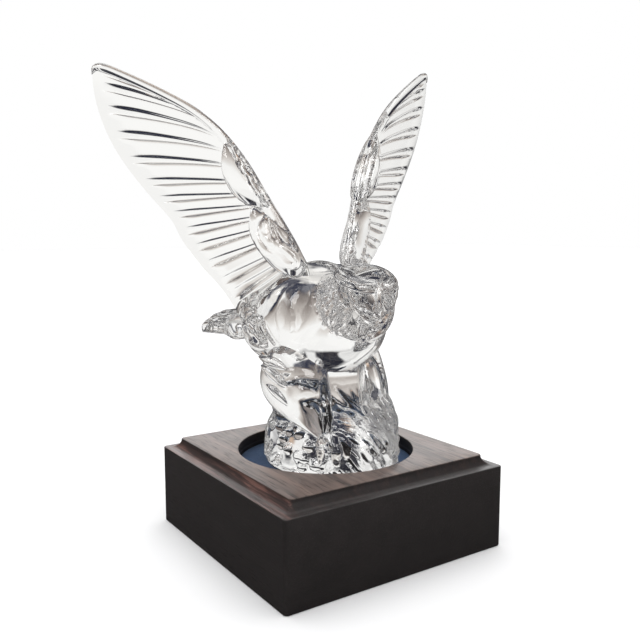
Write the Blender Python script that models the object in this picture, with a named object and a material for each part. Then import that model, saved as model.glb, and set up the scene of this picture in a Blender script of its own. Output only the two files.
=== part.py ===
"""A clear crystal eagle, wings raised, standing in the felt-lined recess of a dark wooden plinth.

Metres, +Z up, the bird facing -Y. The origin is the middle of the plinth's underside.
The eagle is one casting: lofted forms (rock, legs, body, neck, head, tail, wings) joined by Booleans.
"""

import math

import bmesh
import bpy
import numpy as np
from mathutils import Euler, Matrix, Vector

# ---------------------------------------------------------------- driving dimensions
PLINTH_SIDE = 0.140
PLINTH_HEIGHT = 0.0515
BODY_TOP = 0.0458  # height of the plinth's plain sides
PANEL_INSET = 0.0079  # how far the raised top panel stands in from the sides
CORNER_RADIUS = 0.0022
RECESS_RADIUS = 0.0497
RECESS_DEPTH = 0.0090
FELT_THICKNESS = 0.0010
GAP = 0.0003  # clearance between pieces that touch
EDGE_BREAK = 0.0008  # how far the plinth's bottom edge is broken
ARRIS = 0.0005  # how far its other edges are softened
LEDGE = 0.0022  # the flat step outside the cove that leads up to the top panel
COVE_STEPS = 4
RECESS_SIDES = 64

BIRD_MID_X = 0.0025  # the bird's plane of symmetry
ROCK_FOOT = PLINTH_HEIGHT - RECESS_DEPTH + FELT_THICKNESS + 2 * GAP

# ---------------------------------------------------------------- helpers

SPINE_SAMPLES = 121
POLE_SIZE = 1e-6  # a ring smaller than this closes to one point


def smooth_curve(points, count):
    """Samples a Catmull-Rom curve that passes through the points."""
    control = np.array(points, float)
    first = 2 * control[0] - control[1]
    last = 2 * control[-1] - control[-2]
    control = np.vstack([first, control, last])
    spans = len(points) - 1
    samples = []
    for value in np.linspace(0, spans, count):
        index = min(int(value), spans - 1)
        f = value - index
        a, b, c, d = control[index : index + 4]
        samples.append(
            0.5
            * (
                2 * b
                + (c - a) * f
                + (2 * a - 5 * b + 4 * c - d) * f * f
                + (3 * b - a - 3 * c + d) * f**3
            )
        )
    return np.array(samples)


def material(name, colour, roughness, metallic=0.0, clear=False):
    made = bpy.data.materials.new(name)
    made.use_nodes = True
    shader = made.node_tree.nodes["Principled BSDF"]
    shader.inputs["Base Color"].default_value = (*colour, 1.0)
    shader.inputs["Roughness"].default_value = roughness
    shader.inputs["Metallic"].default_value = metallic
    if clear:
        shader.inputs["Transmission Weight"].default_value = 1.0
        shader.inputs["IOR"].default_value = 1.55
    return made


def object_from(name, bm, finish=None):
    """Turns a bmesh into a scene object whose faces point outwards."""
    bmesh.ops.recalc_face_normals(bm, faces=bm.faces)
    if bm.calc_volume(signed=True) < 0:
        bmesh.ops.reverse_faces(bm, faces=bm.faces)
    mesh = bpy.data.meshes.new(name)
    bm.to_mesh(mesh)
    bm.free()
    made = bpy.data.objects.new(name, mesh)
    bpy.context.scene.collection.objects.link(made)
    if finish is not None:
        mesh.materials.append(finish)
    return made


def loft(name, rings):
    """Skins a row of rings. A ring whose points coincide becomes a pole."""
    bm = bmesh.new()
    loops = []
    for ring in rings:
        if np.ptp(ring, axis=0).max() < POLE_SIZE:
            loops.append([bm.verts.new(ring[0])])
        else:
            loops.append([bm.verts.new(point) for point in ring])
    for low, high in zip(loops, loops[1:]):
        count = max(len(low), len(high))
        for i in range(count):
            j = (i + 1) % count
            corners = (low[i % len(low)], low[j % len(low)], high[j % len(high)], high[i % len(high)])
            bm.faces.new(dict.fromkeys(corners))
    for loop in (loops[0], loops[-1]):
        if len(loop) > 1:
            bm.faces.new(loop)
    return object_from(name, bm)


def outline_at(curve, share):
    """The point at a share, from 0 to 1, of a row of samples."""
    place = min(max(share, 0.0), 1.0) * (len(curve) - 1)
    index = min(int(place), len(curve) - 2)
    f = place - index
    return (1 - f) * curve[index] + f * curve[index + 1]


def power_of(value, exponent):
    return math.copysign(abs(value) ** exponent, value)


def limb(name, stations, sides, rings, blunt=3.0, side_axis=(1, 0, 0), squareness=2.0):
    """A rounded form along a spine. A station is (x, y, z, half width, half height).

    A higher bluntness keeps the form full for longer before it closes at its ends.
    """
    fine = smooth_curve(stations, SPINE_SAMPLES)
    tangents = np.gradient(fine[:, :3], axis=0)
    loops = []
    for i in range(rings + 1):
        u = 0.5 - 0.5 * math.cos(math.pi * i / rings)
        here = outline_at(fine, u)
        centre = Vector(here[:3])
        tangent = Vector(outline_at(tangents, u)).normalized()
        side = Vector(side_axis)
        side = (side - tangent * side.dot(tangent)).normalized()
        up = tangent.cross(side)
        closing = max(0.0, 1 - abs(2 * u - 1) ** blunt) ** 0.5
        loop = []
        for j in range(sides):
            angle = 2 * math.pi * j / sides
            across = power_of(math.cos(angle), 2 / squareness) * here[3] * closing
            upward = power_of(math.sin(angle), 2 / squareness) * here[4] * closing
            loop.append(tuple(centre + side * across + up * upward))
        loops.append(loop)
    return loft(name, loops)


def slab(name, columns, rows, points_at):
    """Two sheets sewn round their border. points_at gives the two points at shares of both ways."""
    bm = bmesh.new()
    front = []
    back = []
    for i in range(columns + 1):
        pairs = [points_at(i / columns, j / rows) for j in range(rows + 1)]
        front.append([bm.verts.new(pair[0]) for pair in pairs])
        back.append([bm.verts.new(pair[1]) for pair in pairs])
    for i in range(columns):
        for j in range(rows):
            bm.faces.new((front[i][j], front[i + 1][j], front[i + 1][j + 1], front[i][j + 1]))
            bm.faces.new((back[i][j], back[i][j + 1], back[i + 1][j + 1], back[i + 1][j]))
        for j in (0, rows):
            bm.faces.new((front[i][j], back[i][j], back[i + 1][j], front[i + 1][j]))
    for j in range(rows):
        for i in (0, columns):
            bm.faces.new((front[i][j], front[i][j + 1], back[i][j + 1], back[i][j]))
    return object_from(name, bm)


def round_off(value, width):
    """Rises from 0 to 1 over the width, as a quarter circle does."""
    x = min(max(value / width, 0.0), 1.0)
    return math.sqrt(1 - (1 - x) ** 2)


def feather_crown(share, feathers):
    """Each feather is crowned, 1 along its middle, with a narrow valley, 0, to the next one."""
    phase = (share * feathers) % 1.0
    return 1 - abs(2 * phase - 1) ** 3


def join(target, others):
    """Unites the other objects with the target, which keeps the result."""
    for other in others:
        modifier = target.modifiers.new("union", "BOOLEAN")
        modifier.operation = "UNION"
        modifier.solver = "EXACT"
        modifier.object = other
        bpy.context.view_layer.objects.active = target
        bpy.ops.object.modifier_apply(modifier=modifier.name)
        bpy.data.objects.remove(other, do_unlink=True)
    return target


def shade(target, angle=35):
    target.data.shade_smooth()
    target.data.set_sharp_from_angle(angle=math.radians(angle))


# ---------------------------------------------------------------- plinth and felt


def square_ring(half, height, corner=CORNER_RADIUS, steps=4):
    """A square with rounded corners, as a ring of points."""
    ring = []
    for quarter in range(4):
        turn = quarter * math.pi / 2
        centre = Vector((half - corner, half - corner, height))
        for step in range(steps + 1):
            angle = math.pi / 2 * step / steps
            point = centre + Vector((math.cos(angle), math.sin(angle), 0)) * corner
            ring.append(tuple(Matrix.Rotation(turn, 3, "Z") @ point))
    return ring


def make_plinth():
    """A square block whose top edge steps in over a ledge and up a cove to the raised top panel."""
    half = PLINTH_SIDE / 2
    cove_reach = PANEL_INSET - LEDGE
    cove_rise = PLINTH_HEIGHT - BODY_TOP - ARRIS
    profile = [
        (half - EDGE_BREAK, 0),
        (half, EDGE_BREAK),
        (half, BODY_TOP - ARRIS),
        (half - ARRIS, BODY_TOP),
    ]
    for step in range(COVE_STEPS + 1):
        angle = math.pi / 2 * step / COVE_STEPS
        inset = LEDGE + cove_reach * math.sin(angle)
        profile.append((half - inset, BODY_TOP + cove_rise * (1 - math.cos(angle))))
    profile.append((half - PANEL_INSET - ARRIS, PLINTH_HEIGHT))
    plinth = loft("wooden_plinth", [square_ring(*level) for level in profile])
    bm = bmesh.new()
    floor = PLINTH_HEIGHT - RECESS_DEPTH
    bmesh.ops.create_cone(
        bm,
        cap_ends=True,
        segments=RECESS_SIDES,
        radius1=RECESS_RADIUS,
        radius2=RECESS_RADIUS,
        depth=2 * RECESS_DEPTH,
        matrix=Matrix.Translation((0, 0, floor + RECESS_DEPTH)),
    )
    cutter = object_from("recess_cutter", bm)
    modifier = plinth.modifiers.new("recess", "BOOLEAN")
    modifier.operation = "DIFFERENCE"
    modifier.solver = "EXACT"
    modifier.object = cutter
    cutter.hide_render = True
    cutter.display_type = "WIRE"
    plinth.data.materials.append(material("dark_wood", (0.030, 0.019, 0.016), 0.38))
    shade(plinth)
    return plinth


def make_felt():
    """A thin disc of felt that covers the recess floor."""
    bm = bmesh.new()
    low = PLINTH_HEIGHT - RECESS_DEPTH + GAP
    bmesh.ops.create_cone(
        bm,
        cap_ends=True,
        segments=RECESS_SIDES,
        radius1=RECESS_RADIUS - GAP,
        radius2=RECESS_RADIUS - GAP,
        depth=FELT_THICKNESS,
        matrix=Matrix.Translation((0, 0, low + FELT_THICKNESS / 2)),
    )
    cloth = material("navy_felt", (0.012, 0.035, 0.085), 0.95)
    felt = object_from("blue_felt_lining", bm, cloth)
    shade(felt)
    return felt


# ---------------------------------------------------------------- the bird's wings

# The wing's own plane: outlines are (along the span, across the chord) from the shoulder.
WING_SHOULDER = (-0.0097, 0.0073, 0.1597)
WING_SPAN_AXIS = (-0.638, 0.353, 0.685)
WING_CHORD_AXIS = (-0.618, 0.296, -0.728)
WING_LEADING = (
    (-0.004, 0.002),
    (0.014, -0.0035),
    (0.036, -0.0105),
    (0.058, -0.0165),
    (0.078, -0.0190),
    (0.097, -0.0186),
    (0.118, -0.0123),
    (0.137, -0.0053),
    (0.1495, 0.0005),
)
WING_TRAILING = (
    (0.000, 0.0500),
    (0.020, 0.0445),
    (0.038, 0.0425),
    (0.055, 0.0390),
    (0.066, 0.0350),
    (0.085, 0.0330),
    (0.105, 0.0297),
    (0.122, 0.0244),
    (0.137, 0.0165),
    (0.147, 0.0085),
    (0.1500, 0.0025),
)
WRIST = 0.53  # where the hand begins, as a share of the leading edge
FEATHERS = 14
WING_TWIST = 0.008  # the shoulder end of the leading edge comes forward by this much
TWIST_LENGTH = 0.060
TWIST_CHORD = 0.024  # how far from the leading edge the twist dies out
BLADE_AT_ARM = 0.0034  # half thickness near the leading edge
BLADE_AT_EDGE = 0.0013  # half thickness at the feather tips
BLADE_RIM = 0.0005  # half thickness left at the very rim
ROOT_SWELL = 1.2  # how much thicker the blade grows where it meets the body
ROOT_REACH = 0.18  # as a share of the span
FEATHER_RELIEF = 0.0007
QUILLS_START = 0.24  # where the feathers rise out of the arm, as a share of the chord
QUILLS_RISE = 0.18
RIM_ROUNDING = (0.10, 0.05, 0.06)  # leading edge, trailing edge and tip, as shares
ROW_CROWDING = 0.55  # how much the rows of points crowd towards both rims
# The left wing is the right one mirrored, then raised and tipped a little about its shoulder.
LEFT_WING_TURN = (10.0, -2.9, -4.0)
LEFT_WING_SHIFT = (-0.0014, 0.0027, 0.0026)


class WingPlane:
    """Places points of the wing's layout in space."""

    def __init__(self, left):
        self.origin = Vector(WING_SHOULDER)
        self.span = Vector(WING_SPAN_AXIS).normalized()
        chord = Vector(WING_CHORD_AXIS)
        self.chord = (chord - self.span * chord.dot(self.span)).normalized()
        self.front = self.span.cross(self.chord).normalized()
        if self.front.y > 0:
            self.front = -self.front
        self.left = left
        self.pivot = Vector((2 * BIRD_MID_X - self.origin.x, self.origin.y, self.origin.z))
        self.turn = Euler([math.radians(a) for a in LEFT_WING_TURN]).to_matrix()

    def place(self, along, across, out):
        near_root = max(0.0, 1 - along / TWIST_LENGTH) ** 2
        bend = WING_TWIST * near_root * (1 - across / TWIST_CHORD)
        point = self.origin + self.span * along + self.chord * across + self.front * (out + bend)
        if not self.left:
            return point
        point.x = 2 * BIRD_MID_X - point.x
        return self.turn @ (point - self.pivot) + self.pivot + Vector(LEFT_WING_SHIFT)


def by_length(points, count=241):
    """A curve through the points, with its samples evenly spaced along it."""
    fine = smooth_curve(points, 601)
    steps = np.linalg.norm(np.diff(fine, axis=0), axis=1)
    run = np.concatenate([[0], np.cumsum(steps)])
    even = np.linspace(0, run[-1], count)
    return np.column_stack([np.interp(even, run, fine[:, k]) for k in range(fine.shape[1])])


def feather_line(leading, trailing, s, t):
    """Layout point at feather position s (0 root, 1 tip) and t (0 leading edge, 1 trailing edge)."""
    start = outline_at(leading, WRIST * s)
    end = outline_at(trailing, s)
    point = (1 - t) * start + t * end
    wrist = outline_at(leading, WRIST)
    tip = outline_at(trailing, 1.0)
    rim = outline_at(leading, WRIST + (1 - WRIST) * t)
    straight = (1 - t) * wrist + t * tip
    return point + (rim - straight) * s**5


def half_thickness(s, t):
    towards_edge = min(1.0, 1.15 * t) ** 0.8
    blade = BLADE_AT_ARM + (BLADE_AT_EDGE - BLADE_AT_ARM) * towards_edge
    return blade * (1 + ROOT_SWELL * max(0.0, 1 - s / ROOT_REACH) ** 2)


def make_blade(name, left, columns_per_feather=3, rows=7):
    """The flat of the wing, with its feathers in relief on both faces."""
    plane = WingPlane(left)
    leading = by_length(WING_LEADING)
    trailing = by_length(WING_TRAILING)
    at_leading, at_trailing, at_tip = RIM_ROUNDING

    def faces_at(s, row):
        t = row - math.sin(2 * math.pi * row) / (2 * math.pi) * ROW_CROWDING
        along, across = feather_line(leading, trailing, s, t)
        edge = min(round_off(t, at_leading), round_off(1 - t, at_trailing), round_off(1 - s, at_tip))
        quill = min(max((t - QUILLS_START) / QUILLS_RISE, 0.0), 1.0)
        relief = FEATHER_RELIEF * feather_crown(s, FEATHERS) * quill
        out = BLADE_RIM + (half_thickness(s, t) + relief) * edge
        return plane.place(along, across, out), plane.place(along, across, -out)

    return slab(name, FEATHERS * columns_per_feather, rows, faces_at)


def wing_limb(name, left, stations, sides, rings, blunt):
    """A limb laid in the wing: a station is (along, across, out, half width, half thickness)."""
    plane = WingPlane(left)
    placed = []
    for along, across, out, width, thickness in stations:
        placed.append((*plane.place(along, across, out), width, thickness))
    chord = plane.place(TWIST_LENGTH, TWIST_CHORD, 0) - plane.place(TWIST_LENGTH, 0, 0)
    return limb(name, placed, sides, rings, blunt, tuple(chord))


def make_wing(left):
    """A blade, the bar along its leading edge and the two leaf-shaped coverts on its arm."""
    side = "left" if left else "right"
    blade = make_blade(f"{side}_blade", left)
    leading_bar = wing_limb(
        f"{side}_leading_bar",
        left,
        (
            (-0.010, 0.008, 0, 0.0055, 0.0070),
            (0.012, 0.001, 0, 0.0048, 0.0065),
            (0.036, -0.0065, 0, 0.0040, 0.0055),
            (0.060, -0.0136, 0, 0.0040, 0.0048),
            (0.080, -0.0168, 0, 0.0034, 0.0040),
            (0.098, -0.0155, 0, 0.0028, 0.0034),
            (0.118, -0.0100, 0, 0.0025, 0.0030),
            (0.137, -0.0033, 0, 0.0023, 0.0027),
            (0.148, 0.0010, 0, 0.0021, 0.0024),
        ),
        sides=8,
        rings=20,
        blunt=8,
    )
    upper_covert = wing_limb(
        f"{side}_upper_covert",
        left,
        (
            (0.075, -0.0165, 0, 0.0012, 0.0042),
            (0.062, -0.0085, 0, 0.0058, 0.0060),
            (0.048, -0.0040, 0, 0.0062, 0.0066),
            (0.033, -0.0030, 0, 0.0015, 0.0055),
        ),
        sides=14,
        rings=12,
        blunt=3,
    )
    lower_covert = wing_limb(
        f"{side}_lower_covert",
        left,
        (
            (0.040, -0.0010, 0.0010, 0.0020, 0.0055),
            (0.027, 0.0045, 0.0015, 0.0080, 0.0070),
            (0.012, 0.0070, 0.0025, 0.0100, 0.0080),
            (-0.006, 0.0100, 0.0030, 0.0090, 0.0090),
        ),
        sides=14,
        rings=12,
        blunt=4,
    )
    return join(blade, [leading_bar, upper_covert, lower_covert])


# ---------------------------------------------------------------- tail, body, legs and rock

TAIL_FEATHERS = 7
TAIL_ROOT = (0.040, 0.120)  # (y, z)
TAIL_LENGTH = 0.084
TAIL_HALF_WIDTH = (0.017, 0.027)  # at the root and at the end
TAIL_DROP = 0.004
TAIL_ARCH = 0.008  # how far the sides of the fan lie below its middle
TAIL_END_CURVE = 0.010  # how much shorter the outer feathers are
TAIL_THICK = (0.0100, 0.0022)  # half thickness at the root and at the end
TAIL_RIM = 0.0006
TAIL_RELIEF = 0.0008
TAIL_ROUNDING = (0.12, 0.10)  # at the sides and at the end, as shares


def make_tail(columns_per_feather=3, rows=5):
    """A flat fan of feathers that runs straight back from the body."""
    root_y, root_z = TAIL_ROOT
    at_side, at_end = TAIL_ROUNDING

    def faces_at(share, t):
        s = 2 * share - 1
        half_width = (1 - t) * TAIL_HALF_WIDTH[0] + t * TAIL_HALF_WIDTH[1]
        x = BIRD_MID_X + s * half_width
        y = root_y + (TAIL_LENGTH - TAIL_END_CURVE * s * s) * t
        z = root_z - TAIL_DROP * t - TAIL_ARCH * s * s
        edge = min(round_off(1 - abs(s), at_side), round_off(1 - t, at_end))
        thick = (1 - t) * TAIL_THICK[0] + t * TAIL_THICK[1]
        out = TAIL_RIM + (thick + TAIL_RELIEF * feather_crown(share, TAIL_FEATHERS) * t) * edge
        return (x, y, z + out), (x, y, z - out)

    return slab("tail", TAIL_FEATHERS * columns_per_feather, rows, faces_at)


def make_body():
    x = BIRD_MID_X
    return limb(
        "body",
        (
            (x, -0.034, 0.116, 0.022, 0.020),
            (x, -0.012, 0.121, 0.029, 0.027),
            (x, 0.014, 0.122, 0.032, 0.030),
            (x, 0.040, 0.118, 0.031, 0.026),
            (x, 0.064, 0.115, 0.021, 0.016),
        ),
        sides=26,
        rings=16,
    )


def make_shoulder(side):
    """The swelling on each flank that carries the wing."""
    mid = BIRD_MID_X
    return limb(
        f"shoulder_{side}",
        (
            (mid + side * 0.0080, -0.020, 0.1350, 0.0100, 0.0110),
            (mid + side * 0.0140, -0.002, 0.1390, 0.0145, 0.0175),
            (mid + side * 0.0190, 0.014, 0.1340, 0.0190, 0.0210),
            (mid + side * 0.0220, 0.029, 0.1240, 0.0180, 0.0190),
            (mid + side * 0.0220, 0.050, 0.1150, 0.0110, 0.0120),
        ),
        sides=16,
        rings=12,
    )


ROCK_LEVELS = (  # height above the foot, half size in x, half size in y, middle in y
    (0.000, 0.0355, 0.0400, -0.0020),
    (0.004, 0.0368, 0.0412, -0.0020),
    (0.011, 0.0368, 0.0412, -0.0020),
    (0.017, 0.0360, 0.0408, -0.0020),
    (0.022, 0.0342, 0.0385, -0.0015),
    (0.027, 0.0312, 0.0335, 0.0010),
    (0.034, 0.0292, 0.0290, 0.0080),
    (0.044, 0.0278, 0.0282, 0.0115),
    (0.058, 0.0275, 0.0285, 0.0120),
    (0.074, 0.0260, 0.0270, 0.0120),
)


def make_rock(sides=32, levels=14):
    """The block of rock under the bird, which runs up between its legs into the belly."""
    fine = smooth_curve(ROCK_LEVELS, levels)
    rings = []
    for height, half_x, half_y, middle in fine:
        ring = []
        for j in range(sides):
            angle = 2 * math.pi * j / sides
            x = BIRD_MID_X + half_x * math.cos(angle)
            y = middle + half_y * math.sin(angle)
            ring.append((x, y, ROCK_FOOT + height))
        rings.append(ring)
    return loft("rock", rings)


# The right foot stands forward on the rock's edge and the left one further back.
# A leg's station is (out from the mid-plane, y, z, half width, half height), from hip to ankle.
LEGS = {
    -1: (
        (0.0200, 0.022, 0.104, 0.0120, 0.0120),
        (0.0225, 0.009, 0.0965, 0.0165, 0.0185),
        (0.0230, -0.006, 0.0875, 0.0155, 0.0175),
        (0.0240, -0.021, 0.0770, 0.0100, 0.0120),
        (0.0250, -0.034, 0.066, 0.0050, 0.0060),
    ),
    1: (
        (0.0210, 0.026, 0.106, 0.0110, 0.0120),
        (0.0235, 0.014, 0.098, 0.0145, 0.0190),
        (0.0235, 0.003, 0.087, 0.0135, 0.0180),
        (0.0235, -0.009, 0.076, 0.0105, 0.0130),
        (0.0235, -0.020, 0.066, 0.0060, 0.0075),
    ),
}
TOE_SPREAD = 0.0060
TOE_FALL = 0.0120  # how far a toe reaches down over the rock
TOE_REACH = 0.0060  # how far it reaches forward of the ankle
TOE_SPLAY = 0.3  # the outer toes lie further apart and further back by this share of their spread


def make_thigh(side):
    stations = [(BIRD_MID_X + side * out, *rest) for out, *rest in LEGS[side]]
    return limb(f"thigh_{side}", stations, sides=18, rings=12)


def make_toes(side):
    """Three toes that reach forward and down over the rock from the ankle."""
    out, ankle_y, ankle_z = LEGS[side][-1][:3]
    ankle_x = BIRD_MID_X + side * out
    toes = []
    for spread in (-TOE_SPREAD, 0.0, TOE_SPREAD):
        back = abs(spread) * TOE_SPLAY
        knuckle_x = ankle_x + side * (spread - 0.002)
        claw_x = knuckle_x + side * spread * TOE_SPLAY
        stations = (
            (ankle_x, ankle_y + 0.0040, ankle_z + 0.0020, 0.0034, 0.0040),
            (knuckle_x, ankle_y + back - 0.0035, ankle_z - 0.0020, 0.0032, 0.0040),
            (claw_x, ankle_y + 2 * back - TOE_REACH, ankle_z - TOE_FALL, 0.0014, 0.0022),
        )
        toes.append(limb(f"toe_{side}_{spread}", stations, sides=8, rings=7))
    return toes


# ---------------------------------------------------------------- neck and head

HEAD_CENTRE = (0.0000, -0.0390, 0.1430)
HEAD_TURN = -18  # degrees towards the bird's right
HEAD_BOW = 15  # degrees down
HEAD_FRAME = Euler((math.radians(HEAD_BOW), 0, math.radians(HEAD_TURN))).to_matrix()
HEAD_SIDE = tuple(HEAD_FRAME @ Vector((1, 0, 0)))


def head_point(forward, side, up):
    """A point given in the head's own frame: towards the beak, to the bird's left, and up."""
    return tuple(Vector(HEAD_CENTRE) + HEAD_FRAME @ Vector((side, -forward, up)))


def head_limb(name, stations, sides, rings, **shape):
    """A limb in the head's frame: a station is (forward, side, up, half width, half height)."""
    placed = [(*head_point(*station[:3]), *station[3:]) for station in stations]
    return limb(name, placed, sides, rings, side_axis=HEAD_SIDE, **shape)


def make_neck():
    """The neck widens into a ruff of feathers that hangs round the back of the head and the throat."""
    x = BIRD_MID_X
    return limb(
        "neck",
        (
            (x, 0.010, 0.126, 0.0200, 0.0200),
            (x, -0.012, 0.1325, 0.0205, 0.0195),
            (x - 0.0010, -0.030, 0.1330, 0.0200, 0.0195),
            (x - 0.0050, -0.046, 0.1330, 0.0130, 0.0150),
        ),
        sides=22,
        rings=14,
        blunt=4,
    )


def make_head():
    """The flat skull, the hooked beak, the jaw under it and the two overhanging brows."""
    skull = head_limb(
        "skull",
        (
            (-0.019, 0, -0.001, 0.0150, 0.0110),
            (-0.005, 0, 0.0, 0.0165, 0.0118),
            (0.007, 0, 0.0, 0.0150, 0.0108),
            (0.015, 0, -0.001, 0.0095, 0.0080),
        ),
        sides=20,
        rings=12,
    )
    beak = head_limb(
        "beak",
        (
            (0.004, 0, 0.0015, 0.0095, 0.0085),
            (0.0135, 0, 0.0010, 0.0078, 0.0082),
            (0.0200, 0, -0.0025, 0.0050, 0.0066),
            (0.0215, 0, -0.0100, 0.0018, 0.0024),
        ),
        sides=12,
        rings=10,
        blunt=5,
        squareness=1.5,
    )
    jaw = head_limb(
        "jaw",
        (
            (0.000, 0, -0.0095, 0.0115, 0.0055),
            (0.010, 0, -0.0105, 0.0075, 0.0040),
            (0.0165, 0, -0.0105, 0.0036, 0.0024),
        ),
        sides=12,
        rings=7,
    )
    brows = []
    for side in (-1, 1):
        brows.append(
            head_limb(
                f"brow_{side}",
                (
                    (-0.003, side * 0.0125, 0.0062, 0.0022, 0.0018),
                    (0.006, side * 0.0105, 0.0074, 0.0032, 0.0022),
                    (0.0140, side * 0.0060, 0.0058, 0.0022, 0.0016),
                ),
                sides=8,
                rings=7,
            )
        )
    return [skull, beak, jaw, *brows]


def make_eagle():
    """All the bird's forms and the rock, united in one casting."""
    eagle = make_rock()
    forms = [make_body(), make_neck(), *make_head(), make_tail()]
    for side in (-1, 1):
        forms.append(make_shoulder(side))
        forms.append(make_thigh(side))
        forms.extend(make_toes(side))
    forms.append(make_wing(left=False))
    forms.append(make_wing(left=True))
    join(eagle, forms)
    eagle.name = "crystal_eagle"
    crystal = material("clear_crystal", (1.0, 1.0, 1.0), 0.02, clear=True)
    eagle.data.materials.append(crystal)
    shade(eagle)
    return eagle


for leftover in list(bpy.data.objects):
    bpy.data.objects.remove(leftover, do_unlink=True)

make_plinth()
make_felt()
make_eagle()
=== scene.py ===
# %% [markdown]
# # A crystal eagle on a dark wooden plinth
# The real ornament is three things: a block of dark stained wood with a round recess in its top,
# a disc of navy felt glued in the recess, and an eagle cast and carved in one piece of clear crystal.
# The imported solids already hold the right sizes. This lesson dresses them: it carves the crystal much
# finer, gives the wood its grain and the felt its nap, and lights the lot like a small studio.

import math
from collections import Counter

import bmesh
import bpy
import numpy as np
from mathutils import Euler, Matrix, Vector


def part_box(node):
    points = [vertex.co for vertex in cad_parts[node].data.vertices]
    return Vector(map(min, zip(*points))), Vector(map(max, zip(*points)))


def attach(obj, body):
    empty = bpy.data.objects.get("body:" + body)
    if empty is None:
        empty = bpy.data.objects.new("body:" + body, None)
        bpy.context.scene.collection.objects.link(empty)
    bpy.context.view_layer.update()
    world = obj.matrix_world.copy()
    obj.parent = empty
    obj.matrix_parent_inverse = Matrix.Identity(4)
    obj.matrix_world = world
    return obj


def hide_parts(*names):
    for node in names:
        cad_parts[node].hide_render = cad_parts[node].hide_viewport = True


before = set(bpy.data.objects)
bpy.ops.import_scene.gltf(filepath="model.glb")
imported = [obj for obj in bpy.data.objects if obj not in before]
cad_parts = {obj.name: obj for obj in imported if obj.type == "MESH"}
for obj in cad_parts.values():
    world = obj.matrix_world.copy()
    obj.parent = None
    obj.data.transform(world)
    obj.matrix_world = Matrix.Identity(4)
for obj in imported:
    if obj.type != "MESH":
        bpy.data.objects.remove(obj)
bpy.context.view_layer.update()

# %% [markdown]
# ## Nodes written as arithmetic
# Shader and geometry trees are both graphs of nodes. Wiring each Math node by hand is slow to write and
# slow to read. So one small class wraps a socket and overloads the operators, and an expression such
# as `1 - mask * 0.5` adds its own Math nodes. Every other kind of node comes from one method, `add`,
# which takes the node's type, its settings, and the values or links of its sockets.

# %% Two small classes for node trees


class Socket:
    """An output of a node that takes part in arithmetic."""

    def __init__(self, graph, link):
        self.graph = graph
        self.link = link

    def math(self, operation, first, second=0.0):
        return self.graph.add("ShaderNodeMath", {"operation": operation}, {0: first, 1: second})

    def __add__(self, other):
        return self.math("ADD", self, other)

    __radd__ = __add__

    def __sub__(self, other):
        return self.math("SUBTRACT", self, other)

    def __rsub__(self, other):
        return self.math("SUBTRACT", other, self)

    def __mul__(self, other):
        return self.math("MULTIPLY", self, other)

    __rmul__ = __mul__

    def __truediv__(self, other):
        return self.math("DIVIDE", self, other)

    def __pow__(self, other):
        return self.math("POWER", self, other)

    def size(self):
        return self.math("ABSOLUTE", self)

    def at_most(self, other):
        return self.math("MINIMUM", self, other)

    def at_least(self, other):
        return self.math("MAXIMUM", self, other)

    def rises(self, start, end):
        """0 below start, 1 above end, and a smooth step between them."""
        return self.graph.add(
            "ShaderNodeMapRange",
            {"interpolation_type": "SMOOTHSTEP"},
            {"Value": self, "From Min": start, "From Max": end},
        )

    def plateau(self, start, full, fading, end):
        """Rises from start to full, stays at 1, and falls from fading to end."""
        return self.rises(start, full) * (1 - self.rises(fading, end))

    def within(self, start, end, edge):
        """1 between start and end, with a soft edge inside each of them."""
        return self.plateau(start, start + edge, end - edge, end)


class Graph:
    """Adds nodes to a shader tree or a geometry tree."""

    def __init__(self, tree):
        self.tree = tree

    def add(self, kind, settings=None, sockets=None, output=0):
        node = self.tree.nodes.new(kind)
        for name, value in (settings or {}).items():
            if name == "stops":
                self.set_stops(node.color_ramp, value)
            else:
                setattr(node, name, value)
        self.fill(node, sockets or {})
        return Socket(self, node.outputs[output]) if len(node.outputs) else None

    def fill(self, node, sockets):
        """Links an input to a socket, or sets it to a plain value."""
        for key, value in sockets.items():
            if isinstance(value, Socket):
                self.tree.links.new(value.link, node.inputs[key])
            else:
                node.inputs[key].default_value = value

    def set_stops(self, ramp, stops):
        while len(ramp.elements) < len(stops):
            ramp.elements.new(0.5)
        for element, (position, colour) in zip(ramp.elements, stops):
            element.position = position
            element.color = (*colour, 1.0)

    def mix(self, factor, first, second):
        """A colour mix. A colour is given as three numbers or as a socket."""
        ends = [one if isinstance(one, Socket) else (*one, 1.0) for one in (first, second)]
        return self.add("ShaderNodeMix", {"data_type": "RGBA"}, {0: factor, 6: ends[0], 7: ends[1]}, 2)

    def noise(self, place, scale, detail, roughness=0.5):
        sockets = {"Vector": place, "Scale": scale, "Detail": detail, "Roughness": roughness}
        return self.add("ShaderNodeTexNoise", sockets=sockets)

    def bump(self, height, strength, distance):
        sockets = {"Strength": strength, "Distance": distance, "Height": height}
        return self.add("ShaderNodeBump", sockets=sockets)

    def axes(self, vector):
        """The x, y and z of a vector."""
        split = self.add("ShaderNodeSeparateXYZ", sockets={0: vector}).link.node
        return [Socket(self, output) for output in split.outputs]


# %% [markdown]
# ## The camera
# A small ornament is looked at from a little above its top edge, with a corner of the plinth towards
# the viewer. The plinth's eight corners fix the place, the turn and the focal length.

# %% Camera
CAMERA_PLACE = (-0.2350, -0.3424, 0.1741)
CAMERA_TURN = -34.03  # degrees round Z
CAMERA_DIP = 6.88  # degrees below level
CAMERA_LENS = 41.89  # millimetres, on a sensor 36 mm wide


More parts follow.
